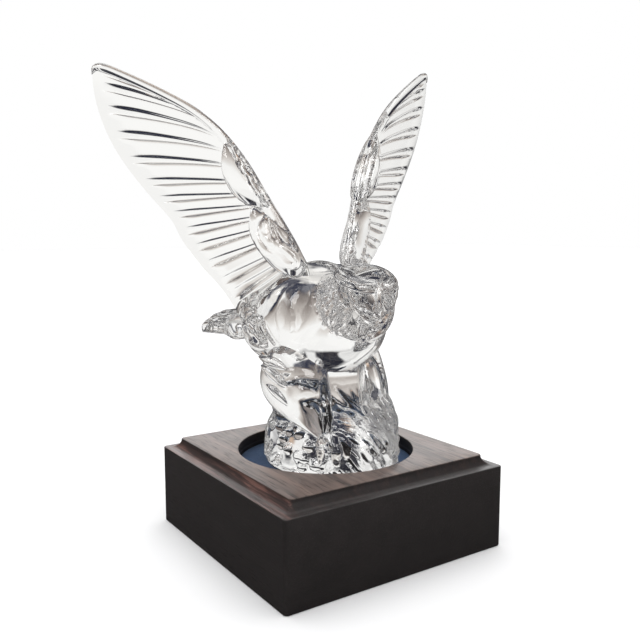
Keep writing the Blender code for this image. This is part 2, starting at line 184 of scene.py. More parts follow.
def make_camera():
    data = bpy.data.cameras.new("camera")
    data.lens = CAMERA_LENS
    data.sensor_width = 36
    data.clip_start = 0.01
    camera = bpy.data.objects.new("camera", data)
    camera.location = CAMERA_PLACE
    camera.rotation_euler = (math.radians(90 - CAMERA_DIP), 0, math.radians(CAMERA_TURN))
    bpy.context.scene.collection.objects.link(camera)
    bpy.context.scene.camera = camera
    return camera


camera = make_camera()
print("camera", [round(value, 4) for value in camera.location], round(camera.data.lens, 2), "mm")

# %% [markdown]
# ## Light for clear crystal
# Clear crystal has no colour of its own, so it shows only what it bends. Cards could be stood round
# the set as planes. Here the sky is painted by direction instead, in three layers. Bands of tone run
# all the way round: white near the horizon, brown and navy below it, and charcoal above it under a
# white box overhead. Charcoal flags darken some bearings. Tall white panes stand over the horizon, one
# white pane lies below it, and small tan cards add warmth. What looks past the object sees plain
# white. Reflections see a darker room with a few bright boxes, so that a rim seen edge-on stays dark
# and the facets still sparkle.

# %% Studio sky
WHITE = (1.0, 1.0, 0.99)
CHARCOAL = (0.016, 0.016, 0.024)
SLATE = (0.075, 0.070, 0.072)
TAN = (0.60, 0.44, 0.33)
NAVY = (0.030, 0.034, 0.060)
ROOM = (0.11, 0.105, 0.105)  # what a reflection sees between the boxes
VIEW_TURN = math.radians(-CAMERA_TURN)
BANDS = (  # height above the horizon in degrees, and the tone painted there
    (-90, (0.95, 0.94, 0.92)),
    (-64, (0.85, 0.83, 0.80)),
    (-58, NAVY),
    (-52, NAVY),
    (-48, (0.90, 0.89, 0.87)),
    (-34.5, (0.90, 0.88, 0.85)),
    (-31.5, NAVY),
    (-24.5, NAVY),
    (-21, (0.18, 0.155, 0.145)),
    (-16, (0.30, 0.265, 0.245)),
    (-9, (0.56, 0.52, 0.49)),
    (-5, (0.78, 0.75, 0.72)),
    (-1, WHITE),
    (14, WHITE),
    (19, CHARCOAL),
    (54, NAVY),
    (61, (1.0, 1.0, 1.0)),
)
BAND_DRIFT = 16  # degrees between the lowest and the highest that a band wanders
DRIFT_SCALE = 2.2
DRIFT_FROM = (12, 20)  # degrees from the horizon over which the drift comes in
# From here on, bearings are degrees from straight ahead, and heights are degrees above the horizon.
FLAGS = ((-80, -58), (52, 72), (100, 124), (-148, -120))  # bearings
FLAG_EDGE = 14
FLAG_FADE = (30, 50)  # heights between which the flags fade out, above and below
FLAG_TONES = (-10, 20)  # heights between which a flag turns from slate to charcoal
WINDOWS = ((-66, -43), (-40, -20), (-4, 7), (11, 28), (31, 56))  # bearings
WINDOW_HEIGHTS = (15, 19, 50, 55)  # where they come in and where they go
WINDOW_STRENGTH = 0.92
LOW_PANE_BEARINGS = (18, 22, 46, 52)
LOW_PANE_HEIGHTS = (-38, -35, -19, -15)
LOW_PANE_STRENGTH = 0.9
WARM_CARDS = ((-32, -26, 7), (30, 36, 6), (72, 27, 10), (-20, 46, 5))  # bearing, height, radius
CARD_CORE = 0.4  # share of the radius that is evenly tan
HIGHLIGHTS = (  # bearings, heights and brightness of each box that only reflections see
    (-170, -138, 28, 54, 9.0),
    (118, 150, 14, 50, 6.0),
    (-112, -84, 20, 50, 6.0),
)
OVERHEAD = (58, 66, 2.0)  # heights over which the overhead box comes in, and its brightness
PANE_EDGE = 3


def sky_directions(graph, direction):
    """The bearing from straight ahead and the height above the horizon, in degrees."""
    x, y, z = graph.axes(direction)
    ahead = x * math.sin(VIEW_TURN) + y * math.cos(VIEW_TURN)
    right = x * math.cos(VIEW_TURN) - y * math.sin(VIEW_TURN)
    bearing = right.math("ARCTAN2", right, ahead) * (180 / math.pi)
    height = z.math("ARCSINE", z.at_most(1).at_least(-1)) * (180 / math.pi)
    return bearing, height


def paint_bands(graph, direction, height):
    """The bands run level near the horizon, and wander a little away from it."""
    drift = graph.noise(direction, DRIFT_SCALE, 1.0) - 0.5
    warped = height + drift * height.size().rises(*DRIFT_FROM) * BAND_DRIFT
    stops = [((lift + 90) / 180, tone) for lift, tone in BANDS]
    return graph.add("ShaderNodeValToRGB", {"stops": stops}, {"Fac": (warped + 90) / 180})


def hang_cards(graph, colour, bearing, height):
    level = 1 - height.size().rises(*FLAG_FADE)
    for start, end in FLAGS:
        flag = bearing.within(start, end, FLAG_EDGE) * level
        colour = graph.mix(flag, colour, graph.mix(height.rises(*FLAG_TONES), SLATE, CHARCOAL))
    tall = height.plateau(*WINDOW_HEIGHTS)
    for start, end in WINDOWS:
        pane = bearing.within(start, end, PANE_EDGE)
        colour = graph.mix(pane * tall * WINDOW_STRENGTH, colour, WHITE)
    pane = bearing.plateau(*LOW_PANE_BEARINGS) * height.plateau(*LOW_PANE_HEIGHTS)
    colour = graph.mix(pane * LOW_PANE_STRENGTH, colour, WHITE)
    for turn, lift, radius in WARM_CARDS:
        away = ((bearing - turn) ** 2 + (height - lift) ** 2) ** 0.5
        colour = graph.mix(1 - away.rises(radius * CARD_CORE, radius), colour, TAN)
    return colour


def reflected_room(graph, bearing, height):
    low, high, power = OVERHEAD
    room = graph.mix(height.rises(low, high), ROOM, (power, power, power))
    for start, end, low, high, power in HIGHLIGHTS:
        box = bearing.within(start, end, PANE_EDGE) * height.within(low, high, PANE_EDGE)
        room = graph.mix(box, room, (power, power, power))
    return room


def paint_sky():
    world = bpy.data.worlds.new("studio")
    bpy.context.scene.world = world
    world.use_nodes = True
    world.node_tree.nodes.clear()
    graph = Graph(world.node_tree)
    direction = graph.add("ShaderNodeTexCoord", output="Generated")
    bearing, height = sky_directions(graph, direction)
    colour = hang_cards(graph, paint_bands(graph, direction, height), bearing, height)
    path = graph.add("ShaderNodeLightPath").link.node.outputs
    kinds = ("Is Camera Ray", "Is Glossy Ray", "Is Transmission Ray")
    camera, glossy, bent = [Socket(graph, path[kind]) for kind in kinds]
    colour = graph.mix(glossy * (1 - bent), colour, reflected_room(graph, bearing, height))
    colour = graph.mix(camera, colour, (1, 1, 1))
    light = graph.add("ShaderNodeBackground", sockets={"Color": colour, "Strength": 1.0})
    graph.add("ShaderNodeOutputWorld", sockets={"Surface": light})
    return world


sky = paint_sky()
print("sky", len(sky.node_tree.nodes), "nodes")

# %% [markdown]
# ## Sun, floor and the light on the wood
# A wide sun, left out of all reflections, lights the pale floor evenly. The crystal doesn't bend the
# floor into view, so its lower edges are drawn as crisply as its upper ones. The dark wood would look
# flat under that sun alone. So a soft box stands low behind it, and is linked to the plinth only.
# Light crosses many crystal walls before it comes out, so it is let bend many times.

# %% Sun and floor
SUN_POWER = 2.6
SUN_SPREAD = 100  # degrees
FLOOR_REACH = 6.0
FLOOR_TONE = 0.93
WOOD_LIGHT_POWER = 16
WOOD_LIGHT_SIZE = (1.6, 1.0)
WOOD_LIGHT_AWAY = 1.3
WOOD_LIGHT_HEIGHT = 0.75
WOOD_LIGHT_AIM = 0.05  # height of the point it faces
BOUNCES = {
    "max_bounces": 24,
    "transmission_bounces": 24,
    "glossy_bounces": 10,
    "transparent_max_bounces": 16,
}


def place_light(name, kind, **settings):
    """A light that crystal never bends into view."""
    data = bpy.data.lights.new(name, kind)
    for setting, value in settings.items():
        setattr(data, setting, value)
    light = bpy.data.objects.new(name, data)
    light.visible_transmission = False
    bpy.context.scene.collection.objects.link(light)
    return light


def make_sun():
    sun = place_light("overhead", "SUN", energy=SUN_POWER, angle=math.radians(SUN_SPREAD))
    sun.visible_glossy = False


def make_wood_light():
    """A wide soft box low behind the object. It is linked to the plinth once that is made."""
    wide, tall = WOOD_LIGHT_SIZE
    shape = {"shape": "RECTANGLE", "size": wide, "size_y": tall}
    light = place_light("wood_light", "AREA", energy=WOOD_LIGHT_POWER, **shape)
    ahead = Vector((math.sin(VIEW_TURN), math.cos(VIEW_TURN), 0))
    light.location = ahead * WOOD_LIGHT_AWAY + Vector((0, 0, WOOD_LIGHT_HEIGHT))
    facing = light.location - Vector((0, 0, WOOD_LIGHT_AIM))
    light.rotation_euler = facing.to_track_quat("Z", "Y").to_euler()
    light.visible_camera = False
    return light


def new_finish(name):
    """A new material, with its graph and its Principled shader."""
    finish = bpy.data.materials.new(name)
    finish.use_nodes = True
    return finish, Graph(finish.node_tree), finish.node_tree.nodes["Principled BSDF"]


def make_floor():
    mesh = bpy.data.meshes.new("floor")
    ends = (-FLOOR_REACH, FLOOR_REACH)
    corners = [(x, y, 0) for x in ends for y in ends]
    mesh.from_pydata(corners, [], [(0, 2, 3, 1)])
    floor = bpy.data.objects.new("floor", mesh)
    floor.visible_glossy = False
    floor.visible_transmission = False
    bpy.context.scene.collection.objects.link(floor)
    paint, graph, shader = new_finish("pale_floor")
    tone = (FLOOR_TONE, FLOOR_TONE, FLOOR_TONE, 1)
    graph.fill(shader, {"Base Color": tone, "Roughness": 0.9, "Specular IOR Level": 0.0})
    mesh.materials.append(paint)


def set_light_paths():
    for name, count in BOUNCES.items():
        setattr(bpy.context.scene.cycles, name, count)
    bpy.context.scene.view_settings.view_transform = "Standard"


make_sun()
make_floor()
wood_light = make_wood_light()
set_light_paths()
print("wood light at", [round(value, 3) for value in wood_light.location])

# %% [markdown]
# ## Curves, skins and sheets
# Nearly every form of the bird is a limb: a smooth spine with a width and a height at each station.
# The forms could be sculpted, but then nobody could change them. Here a limb is a grid of points, ring
# after ring, and the grid is skinned with quads. A wing's blade and the tail are each made of two
# sheets of points, sewn together round their border.

# %% Curves and skins
BIRD_MID_X = 0.0025


def metres(rows):
    """Sizes that are written in millimetres."""
    return np.round(np.array(rows, float) / 1000, 7)


def beside(rows, side, size=1.0):
    """Stations in millimetres, given by how far out from the bird's mid-plane they lie."""
    placed = metres(rows)
    placed[:, 0] = BIRD_MID_X + side * placed[:, 0]
    placed[:, 3:] *= size
    return placed


def smooth_curve(points, count):
    """Samples a Catmull-Rom curve that passes through the points."""
    control = np.array(points, float)
    control = np.vstack([2 * control[0] - control[1], control, 2 * control[-1] - control[-2]])
    spans = len(points) - 1
    value = np.linspace(0, spans, count)
    index = np.minimum(value.astype(int), spans - 1)
    f = (value - index)[:, None]
    a, b, c, d = [control[index + step] for step in range(4)]
    bend = (2 * a - 5 * b + 4 * c - d) * f**2 + (3 * b - a - 3 * c + d) * f**3
    return 0.5 * (2 * b + (c - a) * f + bend)


def by_length(points, count=481):
    """A curve through the points, with its samples evenly spaced along it."""
    fine = smooth_curve(points, 1201)
    run = np.concatenate([[0], np.cumsum(np.linalg.norm(np.diff(fine, axis=0), axis=1))])
    even = np.linspace(0, run[-1], count)
    return sample(fine, run / run[-1], even / run[-1])


def sample(rows, knots, shares):
    """Each column of the rows, read at the shares."""
    return np.stack([np.interp(shares, knots, rows[:, k]) for k in range(rows.shape[1])], axis=-1)


def smooth_step(value, start, end):
    x = np.clip((value - start) / (end - start), 0, 1)
    return x * x * (3 - 2 * x)


def plateau(value, start, full, fading, end):
    """Rises from start to full, stays at 1, and falls from fading to end."""
    return smooth_step(value, start, full) * (1 - smooth_step(value, fading, end))


def round_off(value, width):
    """Rises from 0 to 1 over the width, as a quarter circle does."""
    x = np.clip(value / width, 0, 1)
    return np.sqrt(1 - (1 - x) ** 2)


def mesh_object(name, points, faces):
    mesh = bpy.data.meshes.new(name)
    mesh.from_pydata(np.asarray(points).tolist(), [], faces)
    mesh.validate()
    made = bpy.data.objects.new(name, mesh)
    bpy.context.scene.collection.objects.link(made)
    return made


def skin(name, rings, start, end):
    """Quads over an array of rings, closed by a fan to a point at each end."""
    levels, sides, _ = rings.shape
    points = np.vstack([rings.reshape(-1, 3), [start], [end]])
    first, last = len(points) - 2, len(points) - 1
    faces = []
    for j in range(sides):
        k = (j + 1) % sides
        faces.append((first, k, j))
        faces.append((last, (levels - 1) * sides + j, (levels - 1) * sides + k))
    for i in range(levels - 1):
        low, high = i * sides, (i + 1) * sides
        for j in range(sides):
            k = (j + 1) % sides
            faces.append((low + j, low + k, high + k, high + j))
    made = mesh_object(name, points, faces)
    face_outwards(made)
    return made


def face_outwards(piece):
    """Turns a closed mesh right side out, judged by its signed volume."""
    mesh = piece.data
    mesh.calc_loop_triangles()
    points = read_points(piece)
    corners = np.empty(len(mesh.loop_triangles) * 3, np.int32)
    mesh.loop_triangles.foreach_get("vertices", corners)
    if np.linalg.det(points[corners.reshape(-1, 3)]).sum() < 0:
        mesh.flip_normals()


def read_points(piece):
    points = np.empty(len(piece.data.vertices) * 3)
    piece.data.vertices.foreach_get("co", points)
    return points.reshape(-1, 3)


def write_points(piece, points):
    piece.data.vertices.foreach_set("co", np.asarray(points).ravel())
    piece.data.update()


def limb_rings(stations, sides, rings, blunt=3.0, side_axis=(1, 0, 0), squareness=2.0):
    """Rings round a spine. A station is (x, y, z, half width, half height), in metres."""
    fine = smooth_curve(stations, 241)
    slopes = np.gradient(fine[:, :3], axis=0)
    u = 0.5 - 0.5 * np.cos(np.pi * np.arange(rings + 1) / rings)
    knots = np.linspace(0, 1, len(fine))
    here = sample(fine, knots, u)
    tangent = sample(slopes, knots, u)
    tangent /= np.linalg.norm(tangent, axis=1)[:, None]
    side_axis = np.array(side_axis, float)
    side = side_axis - tangent * (tangent @ side_axis)[:, None]
    side /= np.linalg.norm(side, axis=1)[:, None]
    up = np.cross(tangent, side)
    closing = np.sqrt(np.maximum(0, 1 - np.abs(2 * u - 1) ** blunt))
    angle = 2 * np.pi * np.arange(sides) / sides
    power = 2 / squareness
    across = np.sign(np.cos(angle)) * np.abs(np.cos(angle)) ** power
    upward = np.sign(np.sin(angle)) * np.abs(np.sin(angle)) ** power
    wide = (here[:, 3] * closing)[:, None, None] * across[None, :, None] * side[:, None, :]
    tall = (here[:, 4] * closing)[:, None, None] * upward[None, :, None] * up[:, None, :]
    return here[:, None, :3] + wide + tall


def limb(name, stations, sides, rings, **shape):
    grid = limb_rings(stations, sides, rings, **shape)
    return skin(name, grid[1:-1], grid[0, 0], grid[-1, 0])


def sew(name, front, back):
    """Two sheets of points, columns by rows, joined round their border."""
    columns, rows, _ = front.shape
    points = np.vstack([front.reshape(-1, 3), back.reshape(-1, 3)])
    offset = columns * rows
    faces = []
    for i in range(columns - 1):
        for j in range(rows - 1):
            a, b = i * rows + j, (i + 1) * rows + j
            faces.append((a, b, b + 1, a + 1))
            faces.append((offset + a, offset + a + 1, offset + b + 1, offset + b))
        for j in (0, rows - 1):
            a, b = i * rows + j, (i + 1) * rows + j
            ring = (a, offset + a, offset + b, b)
            faces.append(ring if j == 0 else ring[::-1])
    for j in range(rows - 1):
        for i in (0, columns - 1):
            a = i * rows + j
            ring = (a, a + 1, offset + a + 1, offset + a)
            faces.append(ring if i == 0 else ring[::-1])
    made = mesh_object(name, points, faces)
    face_outwards(made)
    return made


# %% [markdown]
# ## Joining
# Two forms become one with a Boolean modifier. The result is kept as a plain mesh, because later steps
# move its points one by one.

# %% Joining


def apply_modifiers(piece):
    bpy.context.view_layer.update()
    graph = bpy.context.evaluated_depsgraph_get()
    mesh = bpy.data.meshes.new_from_object(piece.evaluated_get(graph))
    piece.modifiers.clear()
    piece.data = mesh
    return piece


def boolean(piece, other, operation, solver="MANIFOLD"):
    """Joins the other form to the piece, or cuts it out, and removes the other form."""
    modifier = piece.modifiers.new("boolean", "BOOLEAN")
    modifier.operation = operation
    modifier.solver = solver
    modifier.object = other
    apply_modifiers(piece)
    bpy.data.objects.remove(other, do_unlink=True)
    return piece


# %% [markdown]
# ## Carving with Geometry Nodes
# Pebbles, small feathers and tool strokes all repeat over a surface. Placing each one by hand would be
# hopeless, and a bump map would leave the outline smooth. A Voronoi texture gives one cell for each
# pebble, and a Set Position node pushes the surface out along its normal inside each cell. Two
# attributes steer it: `flow` says where a point lies in cells, so stretching it makes long feathers,
# and `cut` says how deep the carving goes there.

# %% The carving tree


def new_tree(name, inputs):
    tree = bpy.data.node_groups.new(name, "GeometryNodeTree")
    tree.interface.new_socket("Geometry", in_out="INPUT", socket_type="NodeSocketGeometry")
    for title, kind in inputs:
        tree.interface.new_socket(title, in_out="INPUT", socket_type=kind)
    tree.interface.new_socket("Geometry", in_out="OUTPUT", socket_type="NodeSocketGeometry")
    graph = Graph(tree)
    entry = graph.add("NodeGroupInput").link.node
    sockets = {output.name: Socket(graph, output) for output in entry.outputs}
    return tree, graph, sockets


def carving_tree():
    inputs = [(name, "NodeSocketFloat") for name in ("Height", "Softness", "Fall")]
    tree, graph, entry = new_tree("carve_cells", inputs)
    flow = graph.add(
        "GeometryNodeInputNamedAttribute", {"data_type": "FLOAT_VECTOR"}, {"Name": "flow"}
    )
    cut = graph.add("GeometryNodeInputNamedAttribute", {"data_type": "FLOAT"}, {"Name": "cut"})
    cells = graph.add(
        "ShaderNodeTexVoronoi",
        {"feature": "SMOOTH_F1"},
        {"Vector": flow, "Scale": 1.0, "Smoothness": entry["Softness"]},
    )
    rise = (1 - cells * cells * entry["Fall"]).at_least(0) * cut * entry["Height"]
    normal = graph.add("GeometryNodeInputNormal")
    offset = graph.add(
        "ShaderNodeVectorMath", {"operation": "SCALE"}, {0: normal, "Scale": rise}
    )
    moved = graph.add(
        "GeometryNodeSetPosition", sockets={"Geometry": entry["Geometry"], "Offset": offset}
    )
    graph.add("NodeGroupOutput", sockets={"Geometry": moved})
    return tree


CARVING = carving_tree()
print("carving tree", len(CARVING.nodes), "nodes")


def run_tree(piece, tree, values):
    """Runs a geometry tree on a piece and keeps the result as its plain mesh."""
    modifier = piece.modifiers.new(tree.name, "NODES")
    modifier.node_group = tree
    for item in tree.interface.items_tree:
        if item.in_out == "INPUT" and item.name in values:
            modifier[item.identifier] = values[item.name]
    return apply_modifiers(piece)


def carve(piece, flow, cut, height, softness=0.25, fall=2.2):
    mesh = piece.data
    for name, kind, values in (("flow", "FLOAT_VECTOR", flow), ("cut", "FLOAT", cut)):
        old = mesh.attributes.get(name)
        if old:
            mesh.attributes.remove(old)
        field = "vector" if kind == "FLOAT_VECTOR" else "value"
        made = mesh.attributes.new(name, kind, "POINT")
        made.data.foreach_set(field, np.asarray(values, np.float32).ravel())
    return run_tree(piece, CARVING, {"Height": height, "Softness": softness, "Fall": fall})


# %% [markdown]
# ## Scoring along a path
# A groove beside a beak or a ridge over an eye follows one line across the surface. Each point near
# the line moves along its own normal, most on the line itself and not at all beyond the band's width.
# That is what a carver does with a wheel, and it keeps the mesh closed.

# %% Scoring


def read_normals(piece):
    normals = np.empty(len(piece.data.vertices) * 3)
    piece.data.vertex_normals.foreach_get("vector", normals)
    return normals.reshape(-1, 3)


SHOW_SIDE = np.array([-0.556, -0.823, 0.120])  # the direction that the bird's show side faces
VIEW_AHEAD = (0.56, 0.83, 0)  # level, away from the viewer
VIEW_RIGHT = (0.83, -0.56, 0)


def score(piece, paths, width, height, facing=SHOW_SIDE, fade=0.25, depth=0.012):
    """Raises a band along each path, or cuts it where the height is negative.

    Distances are seen along the direction that the carved side faces, so a path need only be near
    the surface in depth.
    """
    points = read_points(piece)
    normals = read_normals(piece)
    facing = np.array(facing, float) / np.linalg.norm(facing)
    turned = normals @ facing > 0.05
    lift = np.zeros(len(points))
    for path in paths:
        line = smooth_curve(path, 60)
        low, high = line.min(axis=0) - depth - width, line.max(axis=0) + depth + width
        near = np.nonzero(np.all((points > low) & (points < high), axis=1) & turned)[0]
        if not len(near):
            continue
        offsets = points[near][:, None] - line[None]
        deep = offsets @ facing
        gaps = np.linalg.norm(offsets - deep[..., None] * facing, axis=2)
        gaps[np.abs(deep) > depth] = 1.0
        closest = gaps.argmin(axis=1)
        share = closest / (len(line) - 1)
        strength = smooth_step(np.minimum(share, 1 - share), -0.02, fade)
        bump = np.clip(1 - (gaps.min(axis=1) / width) ** 2, 0, 1) ** 2
        here = height * strength * bump
        stronger = np.abs(here) > np.abs(lift[near])
        lift[near[stronger]] = here[stronger]
    write_points(piece, points + normals * lift[:, None])


# %% [markdown]
# ## The rock
# The bird stands on a rounded block that the carver left rough: pebbled cushions on one side, long
# slanting strokes on the other, and a waist that runs up between the legs. The block is a stack of
# ovals, and the two kinds of carving are two passes of the same tree with different flows.

# %% Rock
ROCK_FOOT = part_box("crystal_eagle")[0].z
ROCK_LEVELS = (  # height above the foot, half size in x and in y, middle in y, in millimetres
    (0, 35.5, 40, -2),
    (4, 36.8, 41.2, -2),
    (11, 36.8, 41.2, -2),
    (17, 36, 40.8, -2),
    (22, 34.2, 38.5, -1.5),
    (27, 31.2, 33.5, 1),
    (34, 29.2, 29, 8),
    (44, 27.8, 28.2, 11.5),
    (58, 27.5, 28.5, 12),
    (74, 26, 27, 12),
)
ROCK_RADIUS = 0.037
ROCK_INSET = 0.5  # how far the rock is drawn in before it is carved, against the carving's height
PEBBLE = 0.0068
PEBBLE_HEIGHT = 0.0032
STROKE = 0.0042
STROKE_LENGTH = 5.0  # in stroke widths
STROKE_HEIGHT = 0.0017
STROKE_SLANT = 52  # degrees below level
STROKE_BEARINGS = (-36, -28, 120, 150)  # where strokes take over from pebbles, in degrees
STROKES_END = (0.080, 0.092)  # heights over which the strokes stop
STROKES_TILT = 0.25  # they stop this much lower for each metre to the bird's left
SHOW_BEARING = -34  # the rock is carved deepest on the side on show
HIDDEN_DEPTH = 0.08  # how deep the hidden side is carved, against the side on show
FOOT_MARGIN = (0.0006, 0.0030)  # the foot's edge stays plain
# The hollow beside the leg and the rim along it: paths in millimetres.
LEG_HOLLOW = metres(((-13.1, -29.1, 89.7), (-7.2, -33.4, 87.6), (-1.4, -38, 83.4)))
HOLLOW_RIM = metres(((-5.2, -32.3, 104.3), (-1.6, -36.4, 93.3), (2.7, -41.4, 78.7)))
HOLLOW_REACH = (0.009, 0.014)
HOLLOW_PEBBLE = 0.0026
HOLLOW_PEBBLE_HEIGHT = 0.0009


def stroke_flow(points, width, length, along, outward):
    """Flow for cells that are long in one direction and narrow across it."""
    along = np.array(along, float) / np.linalg.norm(along)
    across = np.cross(along, outward)
    across /= np.linalg.norm(across)
    axes = np.stack([across, np.cross(along, across), along / length], axis=1)
    return points @ axes / width


def distance_to(points, path):
    """How far each point lies from a curve through the path."""
    line = smooth_curve(path, 40)
    return np.linalg.norm(points[:, None] - line[None], axis=2).min(axis=1)


def rock_zones(points):
    """How far each point takes strokes, is on show, lies in the hollow and is clear of the foot."""
    bearing = np.degrees(np.arctan2(points[:, 0] - BIRD_MID_X, -points[:, 1]))
    strokes = plateau(bearing, *STROKE_BEARINGS)
    facing = smooth_step(np.cos(np.radians(bearing - SHOW_BEARING)), -0.1, 0.3)
    shown = HIDDEN_DEPTH + (1 - HIDDEN_DEPTH) * facing
    hollow = 1 - smooth_step(distance_to(points, LEG_HOLLOW), *HOLLOW_REACH)
    clear = smooth_step(points[:, 2], ROCK_FOOT + FOOT_MARGIN[0], ROCK_FOOT + FOOT_MARGIN[1])
    return strokes * (1 - hollow), shown, hollow, clear


def make_rock(sides=190, levels=110):
    fine = smooth_curve(metres(ROCK_LEVELS), levels)
    angle = 2 * np.pi * np.arange(sides) / sides
    x = BIRD_MID_X + fine[:, 1, None] * np.cos(angle)
    y = fine[:, 3, None] + fine[:, 2, None] * np.sin(angle)
    z = ROCK_FOOT + np.repeat(fine[:, :1], sides, axis=1)
    rings = np.stack([x, y, z], axis=-1)
    rock = skin("rock", rings, rings[0].mean(axis=0), rings[-1].mean(axis=0))
    points = read_points(rock)
    strokes, shown, hollow, clear = rock_zones(points)
    pebbles = clear * shown * (1 - strokes) * (1 - hollow)
    inset = points.copy()
    carved = PEBBLE_HEIGHT * (1 - strokes) + STROKE_HEIGHT * strokes
    inward = clear * shown * carved * ROCK_INSET
    inset[:, :2] *= (1 - inward / ROCK_RADIUS)[:, None]
    write_points(rock, inset)
    carve(rock, points / PEBBLE, pebbles, PEBBLE_HEIGHT, 0.01, fall=3.2)
    carve(rock, points / HOLLOW_PEBBLE, hollow, HOLLOW_PEBBLE_HEIGHT, 0.02)
    score(rock, [LEG_HOLLOW], width=0.011, height=-0.0045, fade=0.1)
    score(rock, [HOLLOW_RIM], width=0.0022, height=0.0014)
    return rock


def carve_strokes(piece):
    """Long strokes on the lower slopes, cut after the forms are joined."""
    points = read_points(piece)
    strokes, shown, _, clear = rock_zones(points)
    low = 1 - smooth_step(points[:, 2] + STROKES_TILT * points[:, 0], *STROKES_END)
    slant = math.radians(STROKE_SLANT)
    across_x, across_y, _ = VIEW_RIGHT
    along = (math.cos(slant) * across_x, math.cos(slant) * across_y, -math.sin(slant))
    flow = stroke_flow(points, STROKE, STROKE_LENGTH, along, VIEW_AHEAD)
    carve(piece, flow, clear * shown * strokes * low, STROKE_HEIGHT, 0.02)


rock = make_rock()
print("rock", len(rock.data.polygons), "faces")

# %% [markdown]
# ## Body, shoulders and legs
# These are the smooth parts, where the crystal acts as a lens. The body and the shoulders are melted
# into one mass, as clay is smoothed over a joint, and their surface only swells and sinks gently, so
# that the light bends in broad sweeps. The thighs end in a few pointed feathers, which are small limbs
# of their own, laid against the leg.

# %% Body, shoulders and legs
# Stations in millimetres: out from the mid-plane, y, z, half width and half height.
BODY = (
    (0, -34, 116, 22, 20),
    (0, -12, 121, 29, 27),
    (0, 14, 122, 32, 30),
    (0, 40, 118, 31, 26),
    (0, 64, 115, 21, 16),
)
SHOULDER = (
    (8, -20, 135, 10, 11),
    (14, -2, 138, 14.5, 17),
    (18, 14, 133, 19, 21),
    (20, 29, 123, 18, 19),
    (20, 50, 115, 11, 12),
)
SHOULDER_SIZE = {-1: 0.72, 1: 1.0}
RUMP = ((24, 14, 122, 7, 11), (28, 30, 118, 8.5, 13.5), (23, 50, 115, 6, 9))
LEGS = {  # from hip to ankle
    -1: (
        (20, 22, 104, 12, 12),
        (22.5, 9, 96.5, 16.5, 18.5),
        (23, -6, 87.5, 15.5, 17.5),
        (24, -21, 77, 10, 12),
        (25, -34, 66, 5, 6),
    ),
    1: (
        (21, 26, 106, 11, 12),
        (23.5, 14, 98, 14.5, 19),
        (23.5, 3, 87, 13.5, 18),
        (23.5, -9, 76, 10.5, 13),
        (23.5, -20, 66, 6, 7.5),
    ),
}
# The same, but with x itself in place of the distance from the mid-plane.
FLANK = (
    (14.2, -18.2, 106.9, 7.5, 8),
    (14.5, -23.5, 89.2, 7.4, 9),
    (16.6, -30.1, 70.5, 8.2, 9),
    (19.2, -35.8, 51.7, 6, 7),
)
THIGH_FEATHERS = (
    (
        (-39.5, 6.6, 106.2, 1.6, 2),
        (-37, -1, 104.5, 2.6, 3.2),
        (-34.8, -7.5, 102.8, 2.4, 2.6),
        (-32.8, -13.5, 100.8, 0.8, 0.8),
    ),
    (
        (-39, 5, 101.5, 1.8, 2.4),
        (-36.8, -2.5, 97.8, 2.8, 3.6),
        (-34.6, -9, 94.2, 2.6, 3),
        (-32.4, -15, 90.2, 0.8, 0.8),
    ),
    (
        (-38.2, 1, 91.5, 1.6, 2.2),
        (-35.8, -5.5, 88, 2.6, 3.2),
        (-33.8, -11, 84.5, 2.2, 2.6),
        (-31.8, -15, 80.8, 0.8, 0.8),
    ),
)
LEFT_FEATHER_INSET = 0.0030
SWELL = 0.030  # metres from one swelling of the body to the next
SWELL_HEIGHT = 0.0055
FRONT_SWELL = 0.7  # how high the body swells in front, against behind
BACK_MIDDLE = 0.118  # height at which the distance behind is measured
BACK_SLOPE = 0.6
BACK_FROM = (-0.005, 0.020)
TOE_SPREAD = 0.0060
TOE_FALL = 0.0120
TOE_REACH = 0.0060
TOE_SPLAY = 0.3
# Half width and half height of a toe.
ANKLE_SIZE = (0.0034, 0.0040)
KNUCKLE_SIZE = (0.0032, 0.0040)
CLAW_SIZE = (0.0014, 0.0022)


def make_body():
    body = limb("body", beside(BODY, 1), 96, 80)
    points = read_points(body)
    behind = points[:, 1] + (points[:, 2] - BACK_MIDDLE) * BACK_SLOPE
    swell = FRONT_SWELL + (1 - FRONT_SWELL) * smooth_step(behind, *BACK_FROM)
    carve(body, points / SWELL, swell, SWELL_HEIGHT, 0.45)
    return body


def make_shoulder(side):
    return limb(f"shoulder_{side}", beside(SHOULDER, side, SHOULDER_SIZE[side]), 56, 44)


def make_rump(side):
    """The lobe behind the thigh, where the body runs into the tail."""
    return limb(f"rump_{side}", beside(RUMP, side), 40, 40)


def make_flank():
    """The smooth slope that runs from the breast down to the rock on the bird's left."""
    side_axis = np.cross((0, 0, 1), SHOW_SIDE)
    return limb("flank", metres(FLANK), 64, 70, side_axis=side_axis, squareness=2.4)


def make_thigh(side):
    return limb(f"thigh_{side}", beside(LEGS[side], side), 72, 60, squareness=2.5)


def make_thigh_feathers(side):
    """Three pointed feathers on the outer side of the thigh, each lapping over the next."""
    feathers = []
    inset = 0.0 if side < 0 else LEFT_FEATHER_INSET
    for k, rows in enumerate(THIGH_FEATHERS):
        stations = metres(rows)
        stations[:, 0] = BIRD_MID_X + side * (BIRD_MID_X - stations[:, 0] - inset)
        stations[:, 1] += 4 * inset
        feathers.append(limb(f"thigh_feather_{side}_{k}", stations, 28, 28, squareness=1.7))
    return feathers


